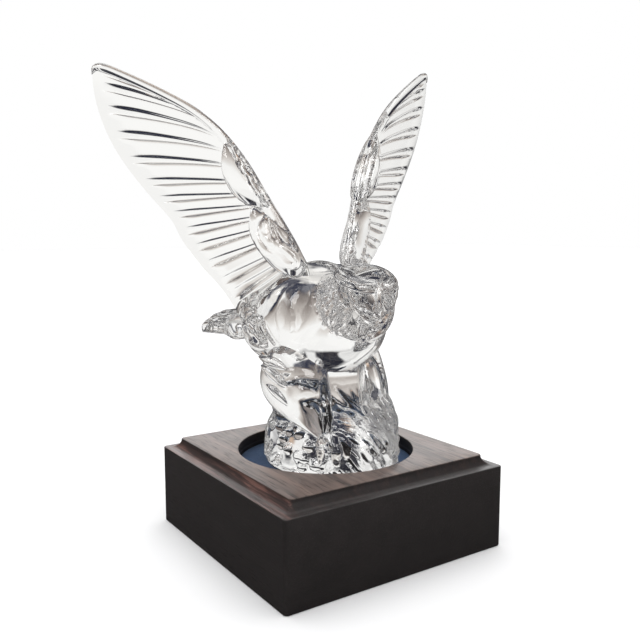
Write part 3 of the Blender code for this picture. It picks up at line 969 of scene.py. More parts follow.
def make_toes(side):
    """Three toes that reach forward and down over the rock from the ankle."""
    out, ankle_y, ankle_z = metres(LEGS[side][-1])[:3]
    ankle_x = BIRD_MID_X + side * out
    toes = []
    for spread in (-TOE_SPREAD, 0.0, TOE_SPREAD):
        back = abs(spread) * TOE_SPLAY
        knuckle_x = ankle_x + side * (spread - 0.002)
        claw_x = knuckle_x + side * spread * TOE_SPLAY
        stations = (
            (ankle_x, ankle_y + 0.0040, ankle_z + 0.0020, *ANKLE_SIZE),
            (knuckle_x, ankle_y + back - 0.0035, ankle_z - 0.0020, *KNUCKLE_SIZE),
            (claw_x, ankle_y + 2 * back - TOE_REACH, ankle_z - TOE_FALL, *CLAW_SIZE),
        )
        toes.append(limb(f"toe_{side}_{spread}", stations, 16, 16))
    return toes


def smooth_mass(name, forms, grain=0.0013, passes=14):
    """Melts several forms into one, as clay is smoothed over a joint."""
    whole = forms[0]
    for other in forms[1:]:
        boolean(whole, other, "UNION")
    whole.name = name
    melt = whole.modifiers.new("melt", "REMESH")
    melt.mode = "VOXEL"
    melt.voxel_size = grain
    soften = whole.modifiers.new("soften", "SMOOTH")
    soften.factor = 0.5
    soften.iterations = passes
    apply_modifiers(whole)
    return whole


body = smooth_mass("body", [make_body(), make_shoulder(-1), make_shoulder(1)])
body_forms = [body, make_rump(-1), make_rump(1), make_flank()]
for side in (-1, 1):
    body_forms.append(make_thigh(side))
    body_forms.extend(make_thigh_feathers(side))
    body_forms.extend(make_toes(side))
print("body and legs", len(body_forms), "forms")

# %% [markdown]
# ## Neck and head
# The head is turned a little to the bird's right and bowed, so its parts are laid out in a frame of
# their own: forward to the beak, sideways and up. The ruff of small feathers round the neck is cut
# later, on the whole casting, so that it runs on over the joints: down on the cheek, and long strokes
# on the throat.

# %% Neck and head
HEAD_CENTRE = (0.0000, -0.0390, 0.1430)
HEAD_TURN = -18  # degrees towards the bird's right
HEAD_BOW = 15  # degrees down
HEAD_FRAME = np.array(Euler((math.radians(HEAD_BOW), 0, math.radians(HEAD_TURN))).to_matrix())
STIPPLE = 0.0030
STIPPLE_HEIGHT = 0.00060
BARB = 0.0026
BARB_LENGTH = 5.0  # in barb widths
BARB_HEIGHT = 0.00115
BEAK_SECTIONS = (  # forward, half width, height of ridge, side corner and underside, in millimetres
    (1, 13.5, 9.8, 2, -6),
    (7, 12.4, 9.4, -2.2, -8.5),
    (12, 9.8, 8.5, -5, -9.8),
    (16, 6.6, 6.2, -6.8, -10.4),
    (19, 3.8, 2, -8.4, -11.2),
    (20.8, 1.8, -4, -10.2, -12.4),
    (21.4, 0.6, -10, -12, -13.2),
)


def head_points(forward_side_up):
    """Points given in the head's own frame: towards the beak, to the bird's left, and up."""
    local = np.asarray(forward_side_up, float)
    turned = np.stack([local[..., 1], -local[..., 0], local[..., 2]], axis=-1)
    return np.array(HEAD_CENTRE) + turned @ HEAD_FRAME.T


def head_frame(points):
    """The opposite: world points as forward, side and up."""
    local = (points - np.array(HEAD_CENTRE)) @ HEAD_FRAME
    return np.stack([-local[:, 1], local[:, 0], local[:, 2]], axis=-1)


def head_limb(name, rows, sides, rings, side=1, **shape):
    """A limb from stations in the head's own frame, in millimetres, on its left (1) or right (-1)."""
    placed = []
    for forward, out, up, half_width, half_height in metres(rows):
        placed.append((*head_points((forward, side * out, up)), half_width, half_height))
    return limb(name, placed, sides, rings, side_axis=HEAD_FRAME[:, 0], **shape)


NECK = (
    (0, 10, 126, 20, 20),
    (0, -12, 132.5, 20.5, 19.5),
    (-1, -30, 133, 20, 19.5),
    (-5, -46, 133, 13, 15),
)
NECK_SURFACE = (0.0208, 0.0222)  # distances from the neck's spine over which the ruff ends
RUFF_FORWARD = (-0.024, -0.021, 0.003, 0.007)
RUFF_UP = (-0.0250, -0.0225, 0.0015, 0.0045)
THROAT_UP = (-0.0080, -0.0040)
BARB_RISE = (0.60, -0.45, 0.66)  # the way the throat's strokes lie


def make_neck():
    return limb("neck", beside(NECK, 1), 150, 80, blunt=4)


def carve_ruff(piece):
    """Stippled down on the cheek and long strokes on the throat, cut after the forms are joined."""
    points = read_points(piece)
    forward, _, up = head_frame(points).T
    ruff = plateau(forward, *RUFF_FORWARD) * plateau(up, *RUFF_UP)
    away = distance_to(points, beside(NECK, 1)[:, :3])
    ruff = ruff * (1 - smooth_step(away, *NECK_SURFACE))
    shown = smooth_step(read_normals(piece) @ SHOW_SIDE, 0.1, 0.5)
    throat = 1 - smooth_step(up, *THROAT_UP)
    carve(piece, points / STIPPLE, ruff * (1 - throat) * shown, STIPPLE_HEIGHT, 0.05)
    flow = stroke_flow(points, BARB, BARB_LENGTH, BARB_RISE, VIEW_AHEAD)
    carve(piece, flow, ruff * throat * shown, BARB_HEIGHT, 0.05)


BEAK_UNDER = 0.72  # the underside's width against the width at the corners
BEAK_SWELL = 0.07  # how far the beak's flat sides bulge, against its half width


def make_beak(points_per_edge=10):
    """A wedge: two flat sides that meet in a ridge on top and come down to a hook."""
    sections = smooth_curve(metres(BEAK_SECTIONS), 40)
    rings = []
    for forward, half, ridge, corner, under in sections:
        outline = [(0.0, ridge), (half, corner), (half * BEAK_UNDER, under)]
        outline += [(-half * BEAK_UNDER, under), (-half, corner)]
        ring = []
        for start, end in zip(outline, outline[1:] + outline[:1]):
            for step in range(points_per_edge):
                f = step / points_per_edge
                swell = BEAK_SWELL * half * math.sin(math.pi * f)
                side = start[0] + (end[0] - start[0]) * f
                up = start[1] + (end[1] - start[1]) * f
                side += math.copysign(swell, side) if abs(side) > 1e-6 else 0.0
                ring.append((forward, side, up))
        rings.append(ring)
    rings = head_points(rings)
    return skin("beak", rings, rings[0].mean(axis=0), rings[-1].mean(axis=0))


# Stations of the head's forms in its own frame, in millimetres: forward, out to the side, up, half
# width and half height.
SKULL = ((-19, 0, -1, 15, 11), (-5, 0, -1, 16, 11.2), (5, 0, -1, 14.8, 10.4), (12, 0, -2, 10, 8))
CROWN = (
    (-26, -1, 2, 13, 6.4),
    (-12, -1, 5.2, 16, 6),
    (1, 0, 5, 15.2, 5.6),
    (10, 0, 4.6, 11.2, 4.4),
    (15, 0, 4, 6, 2.8),
)
JAW = ((-2, 0, -10.5, 12, 5), (9, 0, -12.5, 8.2, 3.6), (16.5, 0, -13.8, 3.8, 2))
CERE = (
    (3.5, 12.8, 4.5, 1.4, 1.4),
    (6.5, 12, 1, 1.5, 1.5),
    (8.8, 10.8, -3, 1.3, 1.3),
    (9.8, 9.8, -6.8, 1.7, 1.7),
)
EYE = ((1, 13.8, 2.4, 1.2, 2), (3.4, 13.7, 2.4, 1.4, 2.2), (5.8, 13.4, 2.4, 1.2, 2))


def make_head():
    forms = [head_limb("skull", SKULL, 96, 72), head_limb("crown", CROWN, 64, 56)]
    forms += [make_beak(), head_limb("jaw", JAW, 44, 30)]
    for side in (-1, 1):
        forms.append(head_limb(f"cere_{side}", CERE, 16, 30, side))
        forms.append(head_limb(f"eye_{side}", EYE, 20, 16, side, blunt=2))
    return forms


head_forms = [make_neck(), *make_head()]
print("head", len(head_forms), "forms")

# %% [markdown]
# ## Tail
# The tail is a flat fan of seven feathers that runs straight back, thick where it leaves the body
# and thin at its end. Each feather laps over the next, and ends in a rounded tip of its own.

# %% Tail
TAIL_FEATHERS = 7
TAIL_ROOT = (0.040, 0.120)  # (y, z)
TAIL_LENGTH = 0.084
TAIL_HALF_WIDTH = (0.017, 0.027)
TAIL_DROP = 0.004
TAIL_ARCH = 0.008
TAIL_END_CURVE = 0.010
TAIL_THICK = (0.0034, 0.0022)
TAIL_RIM = 0.0006
TAIL_RELIEF = 0.0005
TAIL_LAP = 0.0009  # how far a feather's edge stands over the next
TAIL_SCALLOP = 0.0050


def make_tail(columns_per_feather=12, rows=40):
    share = np.linspace(0, 1, TAIL_FEATHERS * columns_per_feather + 1)[:, None]
    t = np.sin(np.linspace(0, 0.5, rows + 1) * np.pi)[None, :]
    s = 2 * share - 1
    half_width = (1 - t) * TAIL_HALF_WIDTH[0] + t * TAIL_HALF_WIDTH[1]
    x = BIRD_MID_X + s * half_width
    place = (share * TAIL_FEATHERS) % 1.0
    scallop = TAIL_SCALLOP * np.abs(2 * place - 1) ** 3 * t**6
    y = TAIL_ROOT[0] + (TAIL_LENGTH - TAIL_END_CURVE * s * s) * t - scallop
    z = TAIL_ROOT[1] - TAIL_DROP * t - TAIL_ARCH * s * s
    edge = np.minimum(round_off(1 - np.abs(s), 0.12), round_off(1 - t, 0.10))
    crown = 1 - np.abs(2 * place - 1) ** 6
    thick = (1 - t) * TAIL_THICK[0] + t * TAIL_THICK[1]
    out = TAIL_RIM + (thick + TAIL_RELIEF * crown * t) * edge
    lap = TAIL_LAP * place * smooth_step(t, 0.2, 0.6) * edge
    sheets = [np.stack([x, y, height], axis=-1) for height in (z + out + lap, z - out + 0.3 * lap)]
    return sew("tail", *sheets)


tail = make_tail()
print("tail", len(tail.data.polygons), "faces")

# %% [markdown]
# ## Wings
# A wing is a thin blade with a round leading edge. Its feathers are flat vanes, and between two vanes
# runs a narrow sunk strip with sloping walls, which tapers away at both ends. Those walls draw the
# dark double lines, because they bend the light away from the white ground. On the right wing the
# strips are cut mostly from the front: two equal walls back to back would cancel each other. The left
# wing is the right one mirrored and turned a little. Its strips have wider walls and run on further,
# and are cut from both sides.

# %% Wings
# The wing is laid out flat: along its span from the shoulder, across it towards the trailing edge, and
# out of its plane. Outlines and stations are in millimetres.
WING_SHOULDER = (-0.0097, 0.0073, 0.1597)
WING_SPAN_AXIS = (-0.638, 0.353, 0.685)
WING_CHORD_AXIS = (-0.618, 0.296, -0.728)
WING_LEADING = metres((
    (-4, 2), (14, -3.5), (36, -10.5), (58, -16.5), (78, -19), (97, -18.6), (118, -12.3),
    (137, -5.3), (149.5, 0.5),
))
WING_TRAILING = metres((
    (0, 50), (20, 44.5), (38, 42.5), (55, 39), (66, 35), (85, 33), (105, 29.7), (122, 24.4),
    (137, 16.5), (147, 8.5), (150, 2.5),
))
WRIST = 0.53
WING_TWIST = 0.008
TWIST_LENGTH = 0.060
TWIST_CHORD = 0.024
BLADE_AT_ARM = 0.0023  # half of its thickness
BLADE_AT_EDGE = 0.0015
THINNING = (1.15, 0.8)  # how early and how evenly the blade thins towards the edge
BLADE_RIM = 0.00018
ROOT_SWELL = 0.4  # how much thicker the blade is at the root
ROOT_REACH = 0.18
RIM_ROUNDING = (0.10, 0.20, 0.05)  # leading edge, trailing edge and tip
ROW_CROWDING = 0.55
LEFT_WING_TURN = (10.0, -2.9, -4.0)
LEFT_WING_SHIFT = (-0.0014, 0.0027, 0.0026)
# Where the sunk strips meet the trailing edge, from the root (0) to the tip (1).
STRIPS = (
    0.050, 0.098, 0.156, 0.235, 0.306, 0.373, 0.441, 0.510, 0.583, 0.674, 0.767, 0.854, 0.930, 0.980
)
STRIP_HALF = (0.0009, 0.0021)  # near the arm and near the trailing edge
STRIP_HALF_LIMIT = (0.008, 0.020)  # the same as a share of the span, where the blade is narrow
WALL_TOWARDS_TIP = (0.0005, 0.0009)  # width of a strip's sloping wall, near the arm and near the edge
WALL_TOWARDS_ROOT = (0.0006, 0.0010)
LEAST_WALL = 0.2  # a wall's width where the strip fades out, against its full width
STRIP_DEPTH = (0.0006, 0.0010)
STRIP_START = 0.15  # share of the way from the leading to the trailing edge
STRIP_RISE = 0.22
# The shares of the way over which a strip's walls fade out.
TIP_WALL_FADE = (0.70, 0.945)
ROOT_WALL_FADE = (0.76, 0.965)
STRIP_BOW = 0.0032  # how far a strip of the hand bows towards the tip
BOW_SHARES = (0.4, 0.8, 0.9, 1.0)  # of the span, over which the bow comes in and goes
LENS_CELL = 0.0036
# These differ between the right (False) and the left wing (True).
WALL_WIDTH = {False: 1.0, True: 1.5}  # against the widths above
STRIP_REACH = {False: 0.0, True: 0.045}  # how much further the strips run
STRIP_BEHIND = {False: 0.25, True: 0.9}  # how deep a strip is behind, against in front
LENS_CUT = {False: 0.0010, True: 0.0002}


class WingPlane:
    """Places points of the wing's layout in space."""

    def __init__(self, left):
        self.origin = np.array(WING_SHOULDER)
        self.span = np.array(WING_SPAN_AXIS) / np.linalg.norm(WING_SPAN_AXIS)
        chord = np.array(WING_CHORD_AXIS)
        chord = chord - self.span * (chord @ self.span)
        self.chord = chord / np.linalg.norm(chord)
        front = np.cross(self.span, self.chord)
        self.front = front if front[1] < 0 else -front
        self.left = left
        self.pivot = np.array([2 * BIRD_MID_X - self.origin[0], self.origin[1], self.origin[2]])
        turn = Euler([math.radians(angle) for angle in LEFT_WING_TURN])
        self.turn = np.array(turn.to_matrix())

    def place(self, along, across, out):
        along, across, out = [np.asarray(value, float) for value in (along, across, out)]
        near_root = np.maximum(0, 1 - along / TWIST_LENGTH) ** 2
        lift = out + WING_TWIST * near_root * (1 - across / TWIST_CHORD)
        layout = np.stack(np.broadcast_arrays(along, across, lift), axis=-1)
        points = self.origin + layout @ np.stack([self.span, self.chord, self.front])
        if not self.left:
            return points
        points[..., 0] = 2 * BIRD_MID_X - points[..., 0]
        return (points - self.pivot) @ self.turn.T + self.pivot + np.array(LEFT_WING_SHIFT)


def feather_layout(s, t):
    """Layout points at feather position s (0 root, 1 tip) and t (0 leading, 1 trailing edge)."""
    leading = by_length(WING_LEADING)
    trailing = by_length(WING_TRAILING)
    knots = np.linspace(0, 1, len(leading))
    start = sample(leading, knots, WRIST * s)
    end = sample(trailing, knots, s)
    wrist = sample(leading, knots, np.array(WRIST))
    rim = sample(leading, knots, WRIST + (1 - WRIST) * t)
    straight = (1 - t)[..., None] * wrist + t[..., None] * trailing[-1]
    point = (1 - t)[..., None] * start + t[..., None] * end
    return point + (rim - straight) * (s**5)[..., None]


def between(ends, share):
    return ends[0] + (ends[1] - ends[0]) * share


def blade_grid(t, left):
    """For each row, the columns' shares of the span and how deep the strips are cut there."""
    swell = smooth_step(t, 0.25, 1.0)
    start = smooth_step(t, STRIP_START, STRIP_START + STRIP_RISE)
    depth = between(STRIP_DEPTH, swell) * start
    reach, wide = STRIP_REACH[left], WALL_WIDTH[left]
    tip_fade = 1 - smooth_step(t, TIP_WALL_FADE[0] + reach, TIP_WALL_FADE[1] + reach)
    root_fade = 1 - smooth_step(t, ROOT_WALL_FADE[0] + reach, ROOT_WALL_FADE[1] + reach * 0.7)
    to_tip = depth * tip_fade
    to_root = depth * root_fade
    tip_size = LEAST_WALL + (1 - LEAST_WALL) * tip_fade * start
    root_size = LEAST_WALL + (1 - LEAST_WALL) * root_fade * start
    probe = 0.002  # share of the span on each side, over which the breadth is measured
    level = np.zeros_like(t)
    last = np.zeros_like(t)
    columns = [(last, level)]
    wall_steps = [(f, smooth_step(f, 0, 1)) for f in (0.0, 0.25, 0.5, 0.75, 1.0)]
    for share in STRIPS:
        ends = [feather_layout(np.full_like(t, share + side * probe), t) for side in (-1, 1)]
        breadth = np.linalg.norm(ends[1] - ends[0], axis=-1) / (2 * probe)
        bow = STRIP_BOW * plateau(share, *BOW_SHARES)
        share = share + bow * np.sin(np.pi * t**0.7) / breadth
        half = between(STRIP_HALF, swell) / breadth
        half = np.minimum(half, between(STRIP_HALF_LIMIT, t))
        root_wall = wide * between(WALL_TOWARDS_ROOT, swell) * root_size / breadth
        tip_wall = wide * between(WALL_TOWARDS_TIP, swell) * tip_size / breadth
        first = share - half - root_wall
        columns += [(last + (first - last) * f, level) for f in (0.25, 0.5, 0.75)]
        columns += [(first + root_wall * f, to_root * eased) for f, eased in wall_steps]
        for f in (0.33, 0.67):
            sunk = to_root + (to_tip - to_root) * smooth_step(f, 0, 1)
            columns.append((share - half + 2 * half * f, sunk))
        columns += [(share + half + tip_wall * f, to_tip * (1 - eased)) for f, eased in wall_steps]
        last = share + half + tip_wall
    columns += [(last + (1 - last) * f, level) for f in (0.33, 0.67, 1.0)]
    shares, depths = zip(*columns)
    return np.array(shares), np.array(depths)


def make_blade(plane, rows=42):
    row = np.linspace(0, 1, rows + 1)
    row = row - np.sin(2 * np.pi * row) / (2 * np.pi) * ROW_CROWDING
    s, sunk = blade_grid(row, plane.left)
    t = np.broadcast_to(row, s.shape)
    at_leading, at_trailing, at_tip = RIM_ROUNDING
    trailing_edge = np.sin(np.clip((1 - t) / at_trailing, 0, 1) * np.pi / 2)
    edge = np.minimum(round_off(t, at_leading), trailing_edge)
    edge = np.minimum(edge, round_off(1 - s, at_tip))
    towards_edge = np.minimum(1.0, THINNING[0] * t) ** THINNING[1]
    thick = between((BLADE_AT_ARM, BLADE_AT_EDGE), towards_edge)
    thick = thick * (1 + ROOT_SWELL * np.maximum(0, 1 - s / ROOT_REACH) ** 2)
    front = BLADE_RIM + (thick - sunk) * edge
    back = BLADE_RIM + (thick - sunk * STRIP_BEHIND[plane.left]) * edge
    layout = feather_layout(s, t)
    along, across = layout[..., 0], layout[..., 1]
    return sew("blade", plane.place(along, across, front), plane.place(along, across, -back))


def wing_limb(plane, name, rows, sides, rings, **shape):
    placed = []
    for along, across, out, half_width, half_thickness in metres(rows):
        placed.append((*plane.place(along, across, out), half_width, half_thickness))
    side_axis = plane.place(TWIST_LENGTH, TWIST_CHORD, 0) - plane.place(TWIST_LENGTH, 0, 0)
    return limb(name, placed, sides, rings, side_axis=side_axis, **shape)


def score_wing(plane, piece, paths, width, height):
    """Scores both faces of a form along paths given in the wing's layout, in millimetres."""
    for face in (-1, 1):
        placed = []
        for path in paths:
            placed.append([plane.place(x / 1000, y / 1000, face * COVERT_FACE) for x, y in path])
        facing = plane.place(TWIST_LENGTH, 0, face * 0.01) - plane.place(TWIST_LENGTH, 0, 0)
        score(piece, placed, width, height, facing)


# Stations in millimetres: along, across, out of the wing's plane, half width and half thickness.
LEADING_BAR = (
    (-10, 8, 0, 5.5, 3.9),
    (12, 1, 0, 4.8, 3.6),
    (36, -6.5, 0, 4, 3),
    (60, -13.6, 0, 3.7, 2.8),
    (80, -16.8, 0, 3, 2.5),
    (98, -15.5, 0, 2.7, 2.6),
    (118, -10, 0, 2.6, 2.6),
    (137, -3.3, 0, 2.5, 2.4),
    (145.5, 0.3, 0, 2.4, 2.2),
    (148.2, 3, 0, 1.9, 1.4),
    (147.8, 7.2, 0, 1.4, 1),
)
UPPER_COVERT = (
    (75, -16.5, 0, 1.2, 4.2),
    (62, -8.5, 0, 5.8, 6),
    (48, -4, 0, 6.2, 6.6),
    (33, -3, 0, 1.5, 5.5),
)
LOWER_COVERT = (
    (40, -1, 1, 2, 5),
    (27, 4.5, 1, 8, 5.6),
    (12, 7, 1.5, 9.5, 6.2),
    (-6, 9, 2, 8.5, 8),
)
LENS_STRIP = (
    (76, -18.4, 0, 0.8, 4.6),
    (64, -13.8, 0, 2.2, 6.4),
    (51, -9.8, 0, 2.4, 6.8),
    (40, -7.2, 0, 1.6, 6.2),
    (32, -6, 0, 0.8, 5.6),
)
COVERT_FACE = 0.006  # how far the lower covert's faces stand out of the wing's plane
# Loops carved in the lower covert: along and across the wing, in millimetres.
COVERT_GROOVES = (
    ((30.5, -1.0), (30.8, 2.8), (29.2, 6.6), (24.8, 9.8), (19.9, 10.8), (12.0, 10.7)),
    ((28.6, -1.4), (24.0, 2.0), (19.7, 4.5), (15.8, 5.5)),
    ((26.7, -2.6), (21.3, -0.1), (15.6, 1.7), (11.0, 1.7)),
)
COVERT_RIDGES = (
    ((29.9, -1.0), (28.2, 3.4), (24.2, 6.7), (19.1, 8.4), (15.7, 7.4)),
    ((15.8, 7.0), (11.8, 4.7), (5.1, 4.1), (1.5, 5.8), (1.1, 8.5), (7.0, 11.0)),
)
COVERT_CUTS = (  # paths, width and height
    (COVERT_GROOVES, 0.0015, -0.0012),
    (COVERT_RIDGES, 0.0017, 0.0010),
)


def make_wing(left):
    plane = WingPlane(left)
    forms = [
        make_blade(plane),
        wing_limb(plane, "leading_bar", LEADING_BAR, 28, 100, blunt=8, squareness=2.2),
        wing_limb(plane, "upper_covert", UPPER_COVERT, 56, 48, blunt=3, squareness=3),
        wing_limb(plane, "lower_covert", LOWER_COVERT, 60, 66, blunt=4, squareness=2.8),
        wing_limb(plane, "lens_strip", LENS_STRIP, 30, 64, blunt=3),
    ]
    *_, lower_covert, lens_strip = forms
    if not left:
        for paths, width, height in COVERT_CUTS:
            score_wing(plane, lower_covert, paths, width, height)
    points = read_points(lens_strip)
    carve(lens_strip, points / LENS_CELL, np.ones(len(points)), LENS_CUT[left], 0.1)
    return forms


wing_forms = make_wing(left=False) + make_wing(left=True)
print("wings", sum(len(form.data.polygons) for form in wing_forms), "faces")

# %% [markdown]
# ## One casting
# The forms overlap, and clear crystal would show every hidden wall inside. A Boolean union removes
# them and leaves one closed skin, as in the casting. What crosses a joint is cut afterwards: the
# strokes on the rock, the ruff, some broad facets behind, and a few lines cut with a wheel.

# %% Unite the forms


def unite(name, forms):
    whole = forms[0]
    for other in forms[1:]:
        boolean(whole, other, "UNION")
    whole.name = name
    whole.data.name = name
    return whole


def make_triangles(piece):
    """Cuts every face into triangles, and drops the flat pairs that share the same three corners."""
    bm = bmesh.new()
    bm.from_mesh(piece.data)
    bmesh.ops.triangulate(bm, faces=bm.faces[:])
    by_corners = {}
    for face in bm.faces:
        corners = frozenset(vert.index for vert in face.verts)
        by_corners.setdefault(corners, []).append(face)
    pairs = [face for faces in by_corners.values() if len(faces) > 1 for face in faces]
    bmesh.ops.delete(bm, geom=pairs, context="FACES")
    bm.to_mesh(piece.data)
    bm.free()
    piece.data.validate()  # two edges between the same two points become one
    uses = Counter(key for face in piece.data.polygons for key in face.edge_keys)
    open_edges = sum(count % 2 for count in uses.values())
    print(piece.name, len(pairs), "flat faces dropped,", open_edges, "open edges left")


def keep_in_box(piece, node):
    """No point may stand outside the solid's box."""
    low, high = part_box(node)
    write_points(piece, np.clip(read_points(piece), list(low), list(high)))


# The facets behind: where they lie in y and z, how far from the mid-plane, and their size and height.
BEHIND_Y = (0.018, 0.030, 0.074, 0.088)
BEHIND_Z = (0.088, 0.095, 0.136, 0.146)
BEHIND_HALF = (0.036, 0.042)
BEHIND_FACET = 0.028
BEHIND_HEIGHT = 0.0036


def carve_behind(piece):
    """Broad facets on the back of the body, which the front shows magnified."""
    points = read_points(piece)
    x, y, z = points.T
    cut = plateau(y, *BEHIND_Y) * plateau(z, *BEHIND_Z)
    cut = cut * (1 - smooth_step(np.abs(x - BIRD_MID_X), *BEHIND_HALF))
    carve(piece, points / BEHIND_FACET, cut, BEHIND_HEIGHT, 0.5)


# Lines cut with a wheel after casting: paths in millimetres, near the surface.
THIGH_CUTS = (
    ((-37.5, -9.5, 97.5), (-35.4, -13.2, 96.2), (-28.2, -17.7, 98), (-22.7, -21.6, 96.9),
     (-19.4, -24.3, 92.5)),
    ((-29.2, -19.1, 83.4), (-24.2, -22.1, 86.5), (-20.4, -24.9, 84.4), (-19.1, -26.6, 79.2)),
)
LEG_SEAM = (
    (-19.2, -22.8, 106.2), (-19.8, -22.6, 102.2), (-18.8, -24.3, 95.9), (-19.7, -25.1, 86.5),
    (-18.9, -27.3, 75), (-19.6, -28.4, 64.6), (-19.3, -30.7, 50),
)
BEAK_CUTS = (
    ((-15.9, -45.6, 138.6), (-12.4, -48.3, 136.4), (-8.6, -51.2, 134.4), (-4.4, -54.7, 129.5)),
    ((-4.4, -54.7, 129.5), (0.6, -55.2, 132.5), (6.7, -54.1, 135.5)),
    ((-25.8, -32.6, 148.7), (-20.7, -38.5, 148.8), (-16.2, -44.2, 147.5), (-13.8, -46.1, 145)),
    ((-4.2, -54.6, 147.6), (-0.2, -55.1, 146.5), (4, -54.8, 143.3)),
)
CULMEN = ((-6.9, -55.5, 146.3), (-7.8, -57, 140.1), (-7.8, -56.8, 132.6))
RUMP_CUT = ((-31.4, 17.8, 126.5), (-31.1, 12.9, 119.1), (-29.9, 6.2, 112.6), (-29.6, -1.8, 108.7))
WHEEL_CUTS = (  # paths, width, height (below zero where it is cut in) and share of the path that fades
    (THIGH_CUTS, 0.0042, -0.0018, 0.25),
    ([LEG_SEAM], 0.0020, -0.0018, 0.1),
    (BEAK_CUTS, 0.0013, -0.0009, 0.25),
    ([CULMEN], 0.0012, 0.0007, 0.25),
    ([RUMP_CUT], 0.0022, -0.0012, 0.25),
)
CREASE = 50  # degrees between faces, past which an edge shows as a crease

eagle = unite("carved_eagle", [rock, *body_forms, *head_forms, tail, *wing_forms])
carve_strokes(eagle)
carve_ruff(eagle)
carve_behind(eagle)
for paths, width, height, fade in WHEEL_CUTS:
    score(eagle, [metres(path) for path in paths], width, height, fade=fade)
keep_in_box(eagle, "crystal_eagle")
make_triangles(eagle)
eagle.data.materials.clear()
eagle.data.shade_smooth()
eagle.data.set_sharp_from_angle(angle=math.radians(CREASE))
eagle.data.calc_loop_triangles()
print("eagle", len(eagle.data.loop_triangles), "triangles")

# %% [markdown]
# ## Crystal
# Clear crystal is all transmission, with a higher index than window glass and a polished surface. Its
# values are plain numbers on the shader. The only thing that changes over the surface is a faint
# waviness, as a casting has once it is fire-polished.

# %% Crystal finish
CRYSTAL_TINT = (0.982, 0.978, 0.968, 1)
CRYSTAL_IOR = 1.54
WAVE_SCALE = 60.0
WAVE_BUMP = (0.15, 0.0008)  # strength and distance


def crystal_finish():
    finish, graph, shader = new_finish("clear_crystal")
    values = {"Base Color": CRYSTAL_TINT, "Roughness": 0.0, "Transmission Weight": 1.0}
    graph.fill(shader, {**values, "IOR": CRYSTAL_IOR})
    place = graph.add("ShaderNodeTexCoord", output="Object")
    waves = graph.noise(place, WAVE_SCALE, 1.0)
    graph.fill(shader, {"Normal": graph.bump(waves, *WAVE_BUMP)})
    return finish


eagle.data.materials.append(crystal_finish())
print("crystal", [material.name for material in eagle.data.materials])

# %% [markdown]
# ## Plinth
# The plinth is a square block with a small ledge and a hollow cove that lead up to a raised top panel.
# It is milled from one block, and its four sides are alike, so one profile is swept round a rounded
# square. A round cutter then sinks the recess for the felt.

# %% Plinth
_, plinth_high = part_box("wooden_plinth")
HALF_SIDE = plinth_high.x
PLINTH_TOP = plinth_high.z
BODY_TOP = 0.0458  # where the block ends and the ledge begins
PANEL_INSET = 0.0079
LEDGE = 0.0022
CORNER_RADIUS = 0.0022
SOFT_EDGE = 0.0005
BOTTOM_EDGE = 0.0008
COVE_STEPS = 14
RECESS_RADIUS = 0.0497
RECESS_DEPTH = 0.0090
RECESS_LIP = 0.0003
RECESS_SIDES = 192
PLINTH_CREASE = 28  # degrees between faces, past which an edge shows as a crease


def square_ring(half, height, corner, steps=8):
    ring = []
    for quarter in range(4):
        for step in range(steps + 1):
            angle = math.pi / 2 * (quarter + step / steps)
            middle = math.pi / 2 * quarter + math.pi / 4
            x = (half - corner) * math.copysign(1, math.cos(middle)) + corner * math.cos(angle)
            y = (half - corner) * math.copysign(1, math.sin(middle)) + corner * math.sin(angle)
            ring.append((x, y, height))
    return ring


def plinth_profile():
    """(inset from the side, height) from the bottom edge to the top panel."""
    profile = [(BOTTOM_EDGE, 0), (0.3 * BOTTOM_EDGE, 0.3 * BOTTOM_EDGE), (0, BOTTOM_EDGE)]
    profile += [(0, BODY_TOP - SOFT_EDGE), (0.3 * SOFT_EDGE, BODY_TOP - 0.3 * SOFT_EDGE)]
    profile += [(SOFT_EDGE, BODY_TOP)]
    rise = PLINTH_TOP - BODY_TOP - SOFT_EDGE
    for step in range(COVE_STEPS + 1):
        angle = math.pi / 2 * step / COVE_STEPS
        inset = LEDGE + (PANEL_INSET - LEDGE) * math.sin(angle)
        profile.append((inset, BODY_TOP + rise * (1 - math.cos(angle))))
    profile.append((PANEL_INSET + 0.3 * SOFT_EDGE, PLINTH_TOP - 0.3 * SOFT_EDGE))
    profile.append((PANEL_INSET + SOFT_EDGE, PLINTH_TOP))
    return profile


def make_plinth():
    rings = [square_ring(HALF_SIDE - inset, z, CORNER_RADIUS) for inset, z in plinth_profile()]
    block = skin("turned_plinth", np.array(rings), (0, 0, 0), (0, 0, PLINTH_TOP))
    floor = PLINTH_TOP - RECESS_DEPTH
    levels = [
        (RECESS_RADIUS, floor),
        (RECESS_RADIUS, PLINTH_TOP - RECESS_LIP),
        (RECESS_RADIUS + RECESS_LIP, PLINTH_TOP),
        (RECESS_RADIUS + 0.002, PLINTH_TOP + 0.002),
    ]
    angle = 2 * np.pi * np.arange(RECESS_SIDES) / RECESS_SIDES
    rings = np.array([[(r * math.cos(a), r * math.sin(a), z) for a in angle] for r, z in levels])
    cutter = skin("recess", rings, (0, 0, floor), (0, 0, levels[-1][1]))
    mesh = boolean(block, cutter, "DIFFERENCE", "EXACT").data
    mesh.shade_smooth()
    mesh.set_sharp_from_angle(angle=math.radians(PLINTH_CREASE))
    return block


plinth = make_plinth()
print("plinth", len(plinth.data.polygons), "faces")
